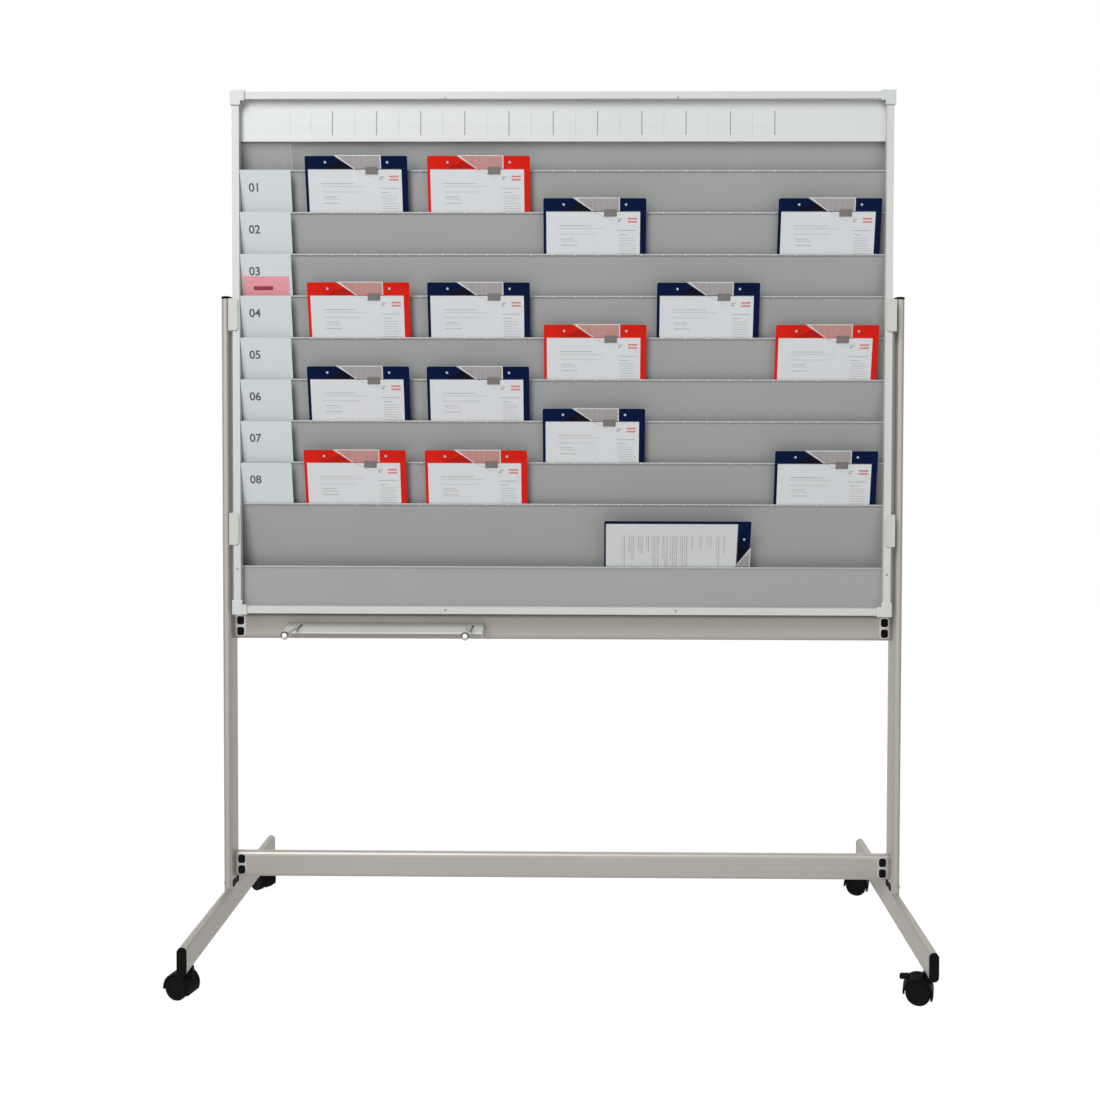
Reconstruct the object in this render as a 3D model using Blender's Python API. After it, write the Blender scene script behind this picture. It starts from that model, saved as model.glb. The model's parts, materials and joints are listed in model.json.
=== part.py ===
"""Mobile planning board: a framed pocket board on a rolling stand.

Units are metres and +Z is up. The model stands on the floor at Z = 0, seen from -Y, and its
origin is the middle of its footprint. Sizes come first, then helpers, then one function for
each kind of piece.
"""
import math

import bmesh
import bpy
from mathutils import Matrix, Vector

# Clearances and cuts
GAP = 0.0003            # air left between pieces that touch
OVERRUN = 0.004         # how far a cutter runs past what it cuts
SMOOTH_ANGLE = math.radians(35.0)
ARC_BEVEL_SHARE = 0.5   # the bevel shape that is a true arc

# Oval profile of the stand
PROFILE_WIDTH = 0.020
PROFILE_DEPTH = 0.060
PROFILE_WALL = 0.0025
PROFILE_STEPS = 8       # facets on each rounded side
GROOVE_OFFSET = 0.0055
GROOVE_WIDTH = 0.0016
GROOVE_DEPTH = 0.0010

# Stand
POST_GAP = 0.015        # between the board's side and each post
POST_DROP = 0.4545      # from the board's top to the posts' top
POST_CAP = 0.004
FOOT_LENGTH = 0.682
FOOT_UNDERSIDE = 0.0648
FOOT_CAP = 0.004
FOOT_CAP_PLUG = 0.012
FOOT_CAP_ROUNDING = 0.0012
LOWER_BAR_HEIGHT = 0.1745
UPPER_BAR_DROP = 0.007  # from the board's underside to the bar's top
BAR_SET_BACK = 0.007    # the bars' middle behind the posts' middle

# Square plugs over the bars' screws
PLUG_WIDTH = 0.0155
PLUG_HEIGHT = 0.0188
PLUG_ROUNDING = 0.0045
PLUG_CORNER_STEPS = 3
PLUG_PITCH = 0.0250
PLUG_INSET = 0.0145     # from the bar's end to the plugs' middle
PLUG_STAND = 0.0012

# Board and its frame
BOARD_WIDTH = 1.480
BOARD_HEIGHT = 1.171
BOARD_UNDERSIDE = 0.766
BOARD_FORWARD = 0.0555  # the frame's face ahead of the posts' middle
FRAME_FACE = 0.016
FRAME_WALL = 0.0020
FRAME_RECESS = 0.016    # depth of the lip that turns back from the face
PANEL_THICKNESS = 0.003
PANEL_LEDGE = 0.010
CORNER_LEG = 0.030      # reach of a corner cap along the frame
CORNER_WALL = 0.003
CORNER_ARM = 0.020      # width of the cap's face on the frame
CORNER_ROUNDING = 0.0016
CORNER_STEPS = 2

# Clamps that hold the board between the posts
CLAMP_HEIGHT = 0.0715
CLAMP_OVERLAP = 0.0125
CLAMP_PLATE = 0.003
CLAMP_SET_IN = 0.006    # how far its front part stays short of the post
CLAMP_ROUNDING = 0.006
CLAMP_STEPS = 3
UPPER_CLAMP_DROP = 0.0427
LOWER_CLAMP_RISE = 0.191

# Header strip
HEADER_HEIGHT = 0.107   # from the frame's outer edge to the strip's lip
HEADER_SHEET = 0.002
HEADER_LIP = 0.012

# Pocket sheets
POCKET_DEPTH = 0.048
POCKET_LEAN = math.radians(12.0)
POCKET_COUNT = 10
SHEET_THICKNESS = 0.001
SHEET_HEM = 0.005
SHEET_FLANGE = 0.012
SHEET_END_GAP = 0.001
FIRST_EDGE_DROP = 0.064     # from the header's lip to the highest pocket edge
LAST_EDGE_RISE = 0.1063     # from the board's underside to the lowest pocket edge
LAST_EDGE_STEP = 0.1425     # from the lowest pocket edge to the next one

# Job folders
FOLDER_WIDTH = 0.230
FOLDER_HEIGHT = 0.328
LYING_FOLDER_WIDTH = 0.224
FOLDER_BACK = 0.0012
FOLDER_FRONT = 0.0010
FOLDER_CORNER = 0.004
FOLDER_CORNER_STEPS = 2
FOLDER_BAND = 0.028
FOLDER_EDGE = 0.003
FOLDER_TAB = 0.002          # how far the clear tab stands over the band
FOLDER_HOLE = 0.0035        # radius
FOLDER_CLIP_WIDTH = 0.028
FOLDER_CLIP_HEIGHT = 0.016
FOLDER_CLIP_STAND = 0.0010
FOLDER_STANDOFF = 0.0006
LEAN_ROUNDS = 5         # rounds in working out the lying folder's lean
HOLE_STEPS = 10
FOLDER_HOLE_SHARES = (0.198, 0.804)             # of the folder's width
FOLDER_NOTCH_SHARES = (0.285, 0.474, 0.743)     # top left, lower left, right side
FOLDER_CLIP_SHARE = 0.602                       # left side of the clip

# Paper pad rail with its two pegs
RAIL_LENGTH = 0.452
RAIL_INSET = 0.125      # from the bar's left end
RAIL_DROP = 0.021       # from the bar's top
RAIL_REACH = 0.047
RAIL_FALL = 0.014
RAIL_SHEET = 0.0015
RAIL_FLANGE = 0.018
RAIL_LIP = 0.003
RAIL_CHEEK = 0.013
PEG_INSET = 0.029
PEG_DROP = 0.007
PEG_REACH = 0.147
PEG_RADIUS = 0.003
PEG_BALL = 0.0085
PEG_STEPS = 12
BALL_RINGS = 8

# Twin-wheel casters
CASTER_INSET = 0.049    # from the foot's end
CASTER_TRAIL = 0.0185
WHEEL_RADIUS = 0.025
WHEEL_STEPS = 20
WHEEL_INNER_FACE = 0.0045
WHEEL_OUTER_FACE = 0.0220
WHEEL_EDGE = 0.0020
WHEEL_DISH = 0.0012
WHEEL_DISH_RADIUS = 0.0190
WHEEL_HUB_RADIUS = 0.0080
AXLE_RADIUS = 0.003
AXLE_BORE = 0.0036
HOOD_RADIUS = 0.031
HOOD_WELL = 0.0265
HOOD_HALF_WIDTH = 0.022
HOOD_SHOULDER = 0.003
HOOD_WEB = 0.0035
HOOD_HUB = 0.009
HOOD_STEPS = 20
HOOD_HUB_STEPS = 4
HOOD_ANGLES = (math.radians(-23.0), math.radians(186.0))
HOOD_HUB_ANGLES = (math.radians(210.0), math.radians(330.0))
STEM_BOSS = 0.010
STEM_BOSS_BOTTOM = 0.030
STEM_RADIUS = 0.005
STEM_HOLE = 0.0057
STEM_RISE = 0.012
STEM_STEPS = 16

# Brake pedal of one caster
BRAKE_ANGLE = math.radians(130.0)
BRAKE_BARREL = 0.0032
BRAKE_STAND = 0.0347    # pivot's distance from the axle
BRAKE_ROOT = 0.0290
BRAKE_KNOB = 0.0045
BRAKE_REACH = 0.011
BRAKE_TILT = math.radians(190.0)
BRAKE_HALF_WIDTH = 0.006
BRAKE_EAR = 0.0025
BRAKE_PIN = 0.0012
BRAKE_BORE = 0.0016
BRAKE_STEPS = 8

# Where each caster points: the turn of its axle away from the Y axis
CASTERS = (
    ("front_left", -1, -1, math.radians(15.0)),
    ("front_right", 1, -1, math.radians(17.0)),
    ("rear_left", -1, 1, math.radians(40.0)),
    ("rear_right", 1, 1, math.radians(16.0)),
)

# A row has room for five folders. Each folder's colour, pocket, column in its row, and the share
# of the row's spare room that lies to its left
FOLDER_COLUMNS = 5
FOLDER_PLACE_SHARES = (
    ("blue", 1, 0, 0.498),
    ("red", 1, 1, 0.647),
    ("blue", 2, 2, 0.748),
    ("blue", 2, 4, 0.966),
    ("red", 4, 0, 0.513),
    ("blue", 4, 1, 0.647),
    ("blue", 4, 3, 0.831),
    ("red", 5, 2, 0.753),
    ("red", 5, 4, 0.951),
    ("blue", 6, 0, 0.511),
    ("blue", 6, 1, 0.643),
    ("blue", 7, 2, 0.745),
    ("red", 8, 0, 0.484),
    ("red", 8, 1, 0.628),
    ("blue", 8, 4, 0.951),
)
LYING_FOLDER_SHARE = 0.733      # of the spare room beside it

# Sizes that follow from the ones above
BOARD_TOP = BOARD_UNDERSIDE + BOARD_HEIGHT
BOARD_SIDE_X = BOARD_WIDTH / 2
POST_TOP = BOARD_TOP - POST_DROP
POST_INNER_X = BOARD_SIDE_X + POST_GAP
POST_X = POST_INNER_X + PROFILE_WIDTH / 2
POST_FLAT_Y = -(PROFILE_DEPTH - PROFILE_WIDTH) / 2     # where the post's flat sides start
FOOT_TOP = FOOT_UNDERSIDE + PROFILE_DEPTH
FOOT_MIDDLE = FOOT_UNDERSIDE + PROFILE_DEPTH / 2
UPPER_BAR_HEIGHT = BOARD_UNDERSIDE - UPPER_BAR_DROP - PROFILE_DEPTH / 2
BAR_FRONT_Y = BAR_SET_BACK - PROFILE_WIDTH / 2
BAR_END_X = POST_INNER_X - GAP
FACE_Y = -BOARD_FORWARD
EDGE_Y = FACE_Y + FRAME_RECESS + GAP
PANEL_Y = FACE_Y + FRAME_RECESS + POCKET_DEPTH
LEDGE_Y = PANEL_Y + PANEL_THICKNESS + GAP
FRAME_BACK_Y = LEDGE_Y + FRAME_WALL
OPENING_HALF = BOARD_SIDE_X - FRAME_FACE
SHEET_HALF = BOARD_SIDE_X - FRAME_WALL - SHEET_END_GAP
HEADER_LIP_Z = BOARD_TOP - HEADER_HEIGHT
FIRST_EDGE_Z = HEADER_LIP_Z - FIRST_EDGE_DROP
LAST_EDGE_Z = BOARD_UNDERSIDE + LAST_EDGE_RISE
EDGE_PITCH = (FIRST_EDGE_Z - LAST_EDGE_Z - LAST_EDGE_STEP) / (POCKET_COUNT - 2)
SHEET_SKIN = SHEET_THICKNESS / math.cos(POCKET_LEAN)    # the leaning sheet's thickness along Y
SHEET_BACK_Y = PANEL_Y - GAP
POCKET_RUN = (SHEET_BACK_Y - EDGE_Y - 2 * SHEET_SKIN) / math.tan(POCKET_LEAN)
LAST_FLOOR_Z = BOARD_UNDERSIDE + FRAME_WALL + GAP + SHEET_THICKNESS
LAST_PLATE_Y = EDGE_Y + 2 * SHEET_THICKNESS
FOLDER_BODY = FOLDER_BACK + FOLDER_FRONT
AXLE_Z = WHEEL_RADIUS


# Helpers

def material(name, colour, roughness, metallic):
    """Make one plain finish."""
    finish = bpy.data.materials.new(name)
    finish.use_nodes = True
    shader = finish.node_tree.nodes["Principled BSDF"]
    shader.inputs["Base Color"].default_value = (*colour, 1.0)
    shader.inputs["Roughness"].default_value = roughness
    shader.inputs["Metallic"].default_value = metallic
    finish.diffuse_color = (*colour, 1.0)
    return finish


def point_on(axis, flat, level):
    """Place a flat point (first, second) at a level along an axis."""
    first, second = flat
    if axis == "X":
        return Vector((level, first, second))
    if axis == "Y":
        return Vector((first, level, second))
    return Vector((first, second, level))


def arc(centre, radius, start, end, steps):
    """Points on a circle, both ends included."""
    turn = (end - start) / steps
    return [
        (centre[0] + radius * math.cos(start + turn * i), centre[1] + radius * math.sin(start + turn * i))
        for i in range(steps + 1)
    ]


def circle(centre, radius, steps, start=0.0):
    """A closed ring of points."""
    return arc(centre, radius, start, start + math.tau, steps)[:-1]


def rounded_rectangle(low, high, radius, steps):
    """A rectangle with four round corners."""
    left, bottom = low
    right, top = high
    quarter = math.pi / 2
    points = arc((right - radius, top - radius), radius, 0.0, quarter, steps)
    points += arc((left + radius, top - radius), radius, quarter, 2 * quarter, steps)
    points += arc((left + radius, bottom + radius), radius, 2 * quarter, 3 * quarter, steps)
    points += arc((right - radius, bottom + radius), radius, 3 * quarter, 4 * quarter, steps)
    return points


def oval(centre, width, depth, steps):
    """The profile's outline: round sides top and bottom, flat sides left and right."""
    radius = width / 2
    flat = depth / 2 - radius
    points = arc((centre[0], centre[1] + flat), radius, 0.0, math.pi, steps)
    points += arc((centre[0], centre[1] - flat), radius, math.pi, math.tau, steps)
    return points


def grooved_oval(centre, width, depth, steps, inset):
    """The post's outline with two grooves in its front nose, moved in by an inset."""
    radius = width / 2
    flat = depth / 2 - radius
    front = (centre[0], centre[1] - flat)
    stops = []
    for side in (-1, 1):
        outer = math.asin((GROOVE_OFFSET + GROOVE_WIDTH / 2) / radius) * side
        inner = math.asin((GROOVE_OFFSET - GROOVE_WIDTH / 2) / radius) * side
        stops.append((min(outer, inner), max(outer, inner)))
    angles = [(-math.pi / 2, 0.0), (stops[0][0], 0.0), (stops[0][0], GROOVE_DEPTH)]
    angles += [(stops[0][1], GROOVE_DEPTH), (stops[0][1], 0.0), (0.0, 0.0), (stops[1][0], 0.0)]
    angles += [(stops[1][0], GROOVE_DEPTH), (stops[1][1], GROOVE_DEPTH), (stops[1][1], 0.0)]
    angles += [(math.pi / 2, 0.0)]
    refined = []
    for here, after in zip(angles, angles[1:]):
        refined.append(here)
        if after[0] - here[0] > math.pi / steps and here[1] == after[1]:
            refined.append(((here[0] + after[0]) / 2, here[1]))
    refined.append(angles[-1])
    points = []
    for angle, cut in refined:
        reach = radius - (inset if inset else cut)
        points.append((front[0] + reach * math.sin(angle), front[1] - reach * math.cos(angle)))
    rear = (centre[0], centre[1] + flat)
    points += arc(rear, radius - inset, 0.0, math.pi, steps)
    return points


def add_prism(bm, outline, axis, low, high):
    """Extrude a closed outline between two levels, which may depend on the point."""
    lows = low if callable(low) else lambda point: low
    highs = high if callable(high) else lambda point: high
    lower = [bm.verts.new(point_on(axis, point, lows(point))) for point in outline]
    upper = [bm.verts.new(point_on(axis, point, highs(point))) for point in outline]
    add_walls(bm, lower, upper)
    bm.faces.new(lower)
    bm.faces.new(upper)


def add_walls(bm, first, second):
    """Join two rings of vertices by a band of faces."""
    count = len(first)
    for i in range(count):
        after = (i + 1) % count
        bm.faces.new((first[i], first[after], second[after], second[i]))


def add_tube(bm, outer, inner, axis, low, high, cap=0.0):
    """A hollow bar, open at both ends, or closed at its high end by a cap."""
    rings = {}
    for key, points, level in (
        ("outer_low", outer, low),
        ("outer_high", outer, high),
        ("inner_low", inner, low),
        ("inner_high", inner, high - cap),
    ):
        rings[key] = [bm.verts.new(point_on(axis, point, level)) for point in points]
    add_walls(bm, rings["outer_low"], rings["outer_high"])
    add_walls(bm, rings["inner_low"], rings["inner_high"])
    add_walls(bm, rings["outer_low"], rings["inner_low"])
    if cap:
        bm.faces.new(rings["outer_high"])
        bm.faces.new(rings["inner_high"])
    else:
        add_walls(bm, rings["outer_high"], rings["inner_high"])


def add_loft(bm, axis, sections):
    """Join outlines with equal numbers of points, each at its level."""
    rings = []
    for outline, level in sections:
        rings.append([bm.verts.new(point_on(axis, point, level)) for point in outline])
    for first, second in zip(rings, rings[1:]):
        add_walls(bm, first, second)
    bm.faces.new(rings[0])
    bm.faces.new(rings[-1])


def add_turning(bm, profile, steps):
    """Turn a profile of (radius, place along Y) about the Y axis, with poles at both ends."""
    start = math.pi / 2 + math.pi / steps
    poles = [bm.verts.new((0.0, profile[end][1], 0.0)) for end in (0, -1)]
    rings = []
    for radius, along in profile[1:-1]:
        outline = circle((0.0, 0.0), radius, steps, start)
        rings.append([bm.verts.new(point_on("Y", point, along)) for point in outline])
    for first, second in zip(rings, rings[1:]):
        add_walls(bm, first, second)
    for pole, ring in zip(poles, (rings[0], rings[-1])):
        for i in range(steps):
            bm.faces.new((pole, ring[i], ring[(i + 1) % steps]))


def finish_mesh(bm, name):
    """Turn all faces outwards and keep the mesh."""
    bmesh.ops.recalc_face_normals(bm, faces=bm.faces[:])
    mesh = bpy.data.meshes.new(name)
    bm.to_mesh(mesh)
    bm.free()
    return mesh


def add_object(name, mesh, finish, parent=None, smooth=True):
    """Put a mesh into the scene as one named piece."""
    piece = bpy.data.objects.new(name, mesh)
    bpy.context.scene.collection.objects.link(piece)
    if finish and not mesh.materials:
        mesh.materials.append(finish)
    if smooth:
        mesh.shade_smooth()
        mesh.set_sharp_from_angle(angle=SMOOTH_ANGLE)
    piece.parent = parent
    return piece


def add_tool(name, mesh):
    """A helper shape for a Boolean, which is no piece of the object."""
    tool = bpy.data.objects.new(name, mesh)
    bpy.context.scene.collection.objects.link(tool)
    tool.hide_render = True
    tool.display_type = "WIRE"
    return tool


def combine(piece, operation, tool):
    """Join a helper shape to a piece, or cut it away."""
    step = piece.modifiers.new(tool.name, "BOOLEAN")
    step.operation = operation
    step.object = tool
    step.solver = "EXACT"


def round_edges(piece, width, segments):
    """Bevel the sharp edges of a piece."""
    step = piece.modifiers.new("rounding", "BEVEL")
    step.width = width
    step.segments = segments
    step.limit_method = "ANGLE"


def add_empty(name, place, turn=0.0, parent=None):
    """An axis that pieces hang on."""
    empty = bpy.data.objects.new(name, None)
    bpy.context.scene.collection.objects.link(empty)
    empty.location = place
    empty.rotation_euler = (0.0, 0.0, turn)
    empty.parent = parent
    return empty


def settled_mesh(piece, name):
    """The mesh of a piece after its modifiers, for copies that share it."""
    bpy.context.view_layer.update()
    graph = bpy.context.evaluated_depsgraph_get()
    mesh = bpy.data.meshes.new_from_object(piece.evaluated_get(graph))
    mesh.name = name
    return mesh


def drop(*pieces):
    """Take helper objects out of the scene."""
    for piece in pieces:
        bpy.data.objects.remove(piece, do_unlink=True)


def box_outline(low, high):
    """A plain rectangle."""
    return [(low[0], low[1]), (high[0], low[1]), (high[0], high[1]), (low[0], high[1])]


# Stand

def make_post(name, side, finish):
    """One upright, hollow, closed by a cap on top and saddled over its foot."""
    bottom = FOOT_TOP - PROFILE_WIDTH / 2
    centre = (side * POST_X, 0.0)
    outer = grooved_oval(centre, PROFILE_WIDTH, PROFILE_DEPTH, PROFILE_STEPS, 0.0)
    inner = grooved_oval(centre, PROFILE_WIDTH, PROFILE_DEPTH, PROFILE_STEPS, PROFILE_WALL)
    bm = bmesh.new()
    add_tube(bm, outer, inner, "Z", bottom, POST_TOP, POST_CAP)
    post = add_object(name, finish_mesh(bm, name), finish)
    saddle = bmesh.new()
    reach = PROFILE_DEPTH / 2 + OVERRUN
    outline = oval(
        (side * POST_X, FOOT_MIDDLE), PROFILE_WIDTH + 2 * GAP, PROFILE_DEPTH + 2 * GAP, 2 * PROFILE_STEPS
    )
    add_prism(saddle, outline, "Y", -reach, reach)
    tool = add_tool(name + "_saddle_cut", finish_mesh(saddle, name + "_saddle_cut"))
    combine(post, "DIFFERENCE", tool)
    return post


def make_foot(name, side, finish):
    """One foot, a hollow bar along Y with a hole for each caster's stem."""
    centre = (side * POST_X, FOOT_MIDDLE)
    half = FOOT_LENGTH / 2 - FOOT_CAP - GAP
    outer = oval(centre, PROFILE_WIDTH, PROFILE_DEPTH, PROFILE_STEPS)
    inner = oval(centre, PROFILE_WIDTH - 2 * PROFILE_WALL, PROFILE_DEPTH - 2 * PROFILE_WALL, PROFILE_STEPS)
    bm = bmesh.new()
    add_tube(bm, outer, inner, "Y", -half, half)
    foot = add_object(name, finish_mesh(bm, name), finish)
    holes = bmesh.new()
    stem_y = FOOT_LENGTH / 2 - CASTER_INSET
    for end in (-1, 1):
        ring = circle((side * POST_X, end * stem_y), STEM_HOLE, STEM_STEPS)
        add_prism(holes, ring, "Z", FOOT_UNDERSIDE - OVERRUN, FOOT_UNDERSIDE + PROFILE_WALL + OVERRUN)
    tool = add_tool(name + "_stem_cuts", finish_mesh(holes, name + "_stem_cuts"))
    combine(foot, "DIFFERENCE", tool)
    return foot


def make_foot_cap(name, side, end, finish):
    """A black cap with a plug that fits inside the foot."""
    centre = (side * POST_X, FOOT_MIDDLE)
    outer_y = FOOT_LENGTH / 2
    edge_y = outer_y - FOOT_CAP_ROUNDING
    inner_y = outer_y - FOOT_CAP
    face = oval(
        centre, PROFILE_WIDTH - 2 * FOOT_CAP_ROUNDING, PROFILE_DEPTH - 2 * FOOT_CAP_ROUNDING, PROFILE_STEPS
    )
    full = oval(centre, PROFILE_WIDTH, PROFILE_DEPTH, PROFILE_STEPS)
    slack = 2 * PROFILE_WALL + 2 * GAP
    plug = oval(centre, PROFILE_WIDTH - slack, PROFILE_DEPTH - slack, PROFILE_STEPS)
    plug_y = inner_y - FOOT_CAP_PLUG
    bm = bmesh.new()
    sections = ((face, outer_y), (full, edge_y), (full, inner_y), (plug, inner_y), (plug, plug_y))
    add_loft(bm, "Y", [(outline, end * level) for outline, level in sections])
    return add_object(name, finish_mesh(bm, name), finish)


def make_crossbar(name, height, finish):
    """A hollow bar between the posts with two square plugs near each end."""
    centre = (BAR_SET_BACK, height)
    outer = oval(centre, PROFILE_WIDTH, PROFILE_DEPTH, PROFILE_STEPS)
    inner = oval(centre, PROFILE_WIDTH - 2 * PROFILE_WALL, PROFILE_DEPTH - 2 * PROFILE_WALL, PROFILE_STEPS)
    bm = bmesh.new()
    add_tube(bm, outer, inner, "X", -BAR_END_X, BAR_END_X)
    bar = add_object(name, finish_mesh(bm, name), finish)
    plugs = bmesh.new()
    for side in (-1, 1):
        for row in (-1, 1):
            x = side * (BAR_END_X - PLUG_INSET)
            z = height + row * PLUG_PITCH / 2
            low = (x - PLUG_WIDTH / 2, z - PLUG_HEIGHT / 2)
            high = (x + PLUG_WIDTH / 2, z + PLUG_HEIGHT / 2)
            outline = rounded_rectangle(low, high, PLUG_ROUNDING, PLUG_CORNER_STEPS)
            add_prism(plugs, outline, "Y", BAR_FRONT_Y - PLUG_STAND, BAR_FRONT_Y + PROFILE_WALL / 2)
    tool = add_tool(name + "_plugs", finish_mesh(plugs, name + "_plugs"))
    combine(bar, "UNION", tool)
    return bar


def make_clamp(name, side, height, finish):
    """A C-shaped clamp: it lies against the post's flat side and hooks over both faces of the frame."""
    outer_x = POST_INNER_X - GAP
    short_x = outer_x - CLAMP_SET_IN
    web_x = BOARD_SIDE_X + GAP
    tip_x = BOARD_SIDE_X - CLAMP_OVERLAP
    front_y = FACE_Y - GAP
    back_y = FRAME_BACK_Y + GAP
    outline = [
        (short_x, front_y - CLAMP_PLATE),
        (short_x, POST_FLAT_Y),
        (outer_x, POST_FLAT_Y),
        (outer_x, back_y + CLAMP_PLATE),
        (tip_x, back_y + CLAMP_PLATE),
        (tip_x, back_y),
        (web_x, back_y),
        (web_x, front_y),
        (tip_x, front_y),
        (tip_x, front_y - CLAMP_PLATE),
    ]
    bm = bmesh.new()
    low = height - CLAMP_HEIGHT / 2
    high = height + CLAMP_HEIGHT / 2
    add_prism(bm, [(side * x, y) for x, y in outline], "Z", low, high)
    corners = [
        edge
        for edge in bm.edges
        if all(abs(abs(vert.co.x) - tip_x) < GAP for vert in edge.verts)
        and abs(edge.verts[0].co.z - edge.verts[1].co.z) < GAP
    ]
    bmesh.ops.bevel(
        bm,
        geom=corners,
        offset=CLAMP_ROUNDING,
        segments=CLAMP_STEPS,
        profile=ARC_BEVEL_SHARE,
        affect="EDGES",
    )
    return add_object(name, finish_mesh(bm, name), finish)


def make_pad_rail(name, finish):
    """A sloped rail on the upper bar, with end cheeks and two ball-ended pegs."""
    left = -BAR_END_X + RAIL_INSET
    right = left + RAIL_LENGTH
    back_y = BAR_FRONT_Y - GAP
    top_z = UPPER_BAR_HEIGHT + PROFILE_DEPTH / 2 - RAIL_DROP
    front_y = back_y - RAIL_REACH
    front_z = top_z - RAIL_FALL
    slope = RAIL_FALL / RAIL_REACH
    section = [
        (back_y, top_z),
        (back_y, top_z - RAIL_FLANGE),
        (back_y - RAIL_SHEET, top_z - RAIL_FLANGE),
        (back_y - RAIL_SHEET, top_z - RAIL_SHEET * (1 + slope)),
        (front_y + RAIL_SHEET, front_z - RAIL_SHEET * (1 - slope)),
        (front_y + RAIL_SHEET, front_z - RAIL_SHEET - RAIL_LIP),
        (front_y, front_z - RAIL_SHEET - RAIL_LIP),
        (front_y, front_z),
    ]
    bm = bmesh.new()
    add_prism(bm, section, "X", left, right)
    rail = add_object(name, finish_mesh(bm, name), finish)
    cheek = [
        (back_y, top_z),
        (back_y, top_z - RAIL_FLANGE),
        (front_y, front_z - RAIL_CHEEK),
        (front_y, front_z),
    ]
    ends = bmesh.new()
    add_prism(ends, cheek, "X", left, left + RAIL_SHEET)
    add_prism(ends, cheek, "X", right - RAIL_SHEET, right)
    combine(rail, "UNION", add_tool(name + "_cheeks", finish_mesh(ends, name + "_cheeks")))
    pegs = bmesh.new()
    peg_z = top_z - PEG_DROP
    ball_y = back_y - PEG_REACH
    for x in (left + PEG_INSET, right - PEG_INSET):
        add_peg(pegs, x, peg_z, ball_y, back_y)
    combine(rail, "UNION", add_tool(name + "_pegs", finish_mesh(pegs, name + "_pegs")))
    return rail


def add_peg(bm, x, z, ball_y, back_y):
    """A round rod that ends in a ball, as one turned shape along Y."""
    neck = math.asin(PEG_RADIUS / PEG_BALL)
    profile = [(0.0, ball_y - PEG_BALL)]
    for i in range(1, BALL_RINGS):
        angle = (math.pi - neck) * i / (BALL_RINGS - 1)
        profile.append((PEG_BALL * math.sin(angle), ball_y - PEG_BALL * math.cos(angle)))
    profile += [(PEG_RADIUS, back_y), (0.0, back_y)]
    turning = bmesh.new()
    add_turning(turning, profile, PEG_STEPS)
    bmesh.ops.translate(turning, verts=turning.verts[:], vec=(x, 0.0, z))
    mesh = bpy.data.meshes.new("peg")
    turning.to_mesh(mesh)
    turning.free()
    bm.from_mesh(mesh)
    bpy.data.meshes.remove(mesh)


# Board

def frame_section():
    """The frame's section as (distance in from the outer edge, depth behind the face)."""
    depth = FRAME_BACK_Y - FACE_Y
    ledge = LEDGE_Y - FACE_Y
    return [
        (0.0, 0.0),
        (FRAME_FACE, 0.0),
        (FRAME_FACE, FRAME_RECESS),
        (FRAME_FACE - FRAME_WALL, FRAME_RECESS),
        (FRAME_FACE - FRAME_WALL, FRAME_WALL),
        (FRAME_WALL, FRAME_WALL),
        (FRAME_WALL, ledge),
        (FRAME_WALL + PANEL_LEDGE, ledge),
        (FRAME_WALL + PANEL_LEDGE, depth),
        (0.0, depth),
    ]


def make_frame_bar(name, across, side, finish):
    """One side of the frame, mitred at both ends."""
    section = frame_section()
    middle = BOARD_UNDERSIDE + BOARD_HEIGHT / 2
    half = BOARD_WIDTH / 2 if across else BOARD_HEIGHT / 2
    reach = (BOARD_HEIGHT if across else BOARD_WIDTH) / 2
    bm = bmesh.new()
    rings = []
    for end in (-1, 1):
        ring = []
        for inset, depth in section:
            along = end * (half - inset - GAP)
            away = side * (reach - inset)
            if across:
                ring.append(bm.verts.new((along, FACE_Y + depth, middle + away)))
            else:
                ring.append(bm.verts.new((away, FACE_Y + depth, middle + along)))
        rings.append(ring)
    add_walls(bm, rings[0], rings[1])
    bm.faces.new(rings[0])
    bm.faces.new(rings[1])
    return add_object(name, finish_mesh(bm, name), finish)


def corner_box(side, rise, low, high):
    """A box given inwards from the board's corner: (in X, in Z) and depths along Y."""
    edge = BOARD_TOP if rise > 0 else BOARD_UNDERSIDE
    xs = sorted(side * (BOARD_SIDE_X - inward) for inward in (low[0], high[0]))
    zs = sorted(edge - rise * inward for inward in (low[2], high[2]))
    outline = box_outline((xs[0], zs[0]), (xs[1], zs[1]))
    return outline, low[1], high[1]


def make_corner_cap(name, side, rise, finish):
    """A moulded cap over a corner of the frame: L-shaped faces and two outer walls."""
    front_y = FACE_Y - GAP - CORNER_WALL
    back_y = FRAME_BACK_Y + GAP + CORNER_WALL
    skin = GAP + CORNER_WALL
    outline, low, high = corner_box(side, rise, (-skin, front_y, -skin), (CORNER_LEG, back_y, CORNER_LEG))
    bm = bmesh.new()
    add_prism(bm, outline, "Y", low, high)
    cap = add_object(name, finish_mesh(bm, name), finish)
    round_edges(cap, CORNER_ROUNDING, CORNER_STEPS)
    past = CORNER_LEG + OVERRUN
    hollow = bmesh.new()
    outline, low, high = corner_box(side, rise, (-GAP, FACE_Y - GAP, -GAP), (past, FRAME_BACK_Y + GAP, past))
    add_prism(hollow, outline, "Y", low, high)
    combine(cap, "DIFFERENCE", add_tool(name + "_hollow", finish_mesh(hollow, name + "_hollow")))
    notch = bmesh.new()
    outline, low, high = corner_box(
        side, rise, (CORNER_ARM, front_y - OVERRUN, CORNER_ARM), (past, back_y + OVERRUN, past)
    )
    add_prism(notch, outline, "Y", low, high)
    combine(cap, "DIFFERENCE", add_tool(name + "_notch", finish_mesh(notch, name + "_notch")))
    return cap


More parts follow.
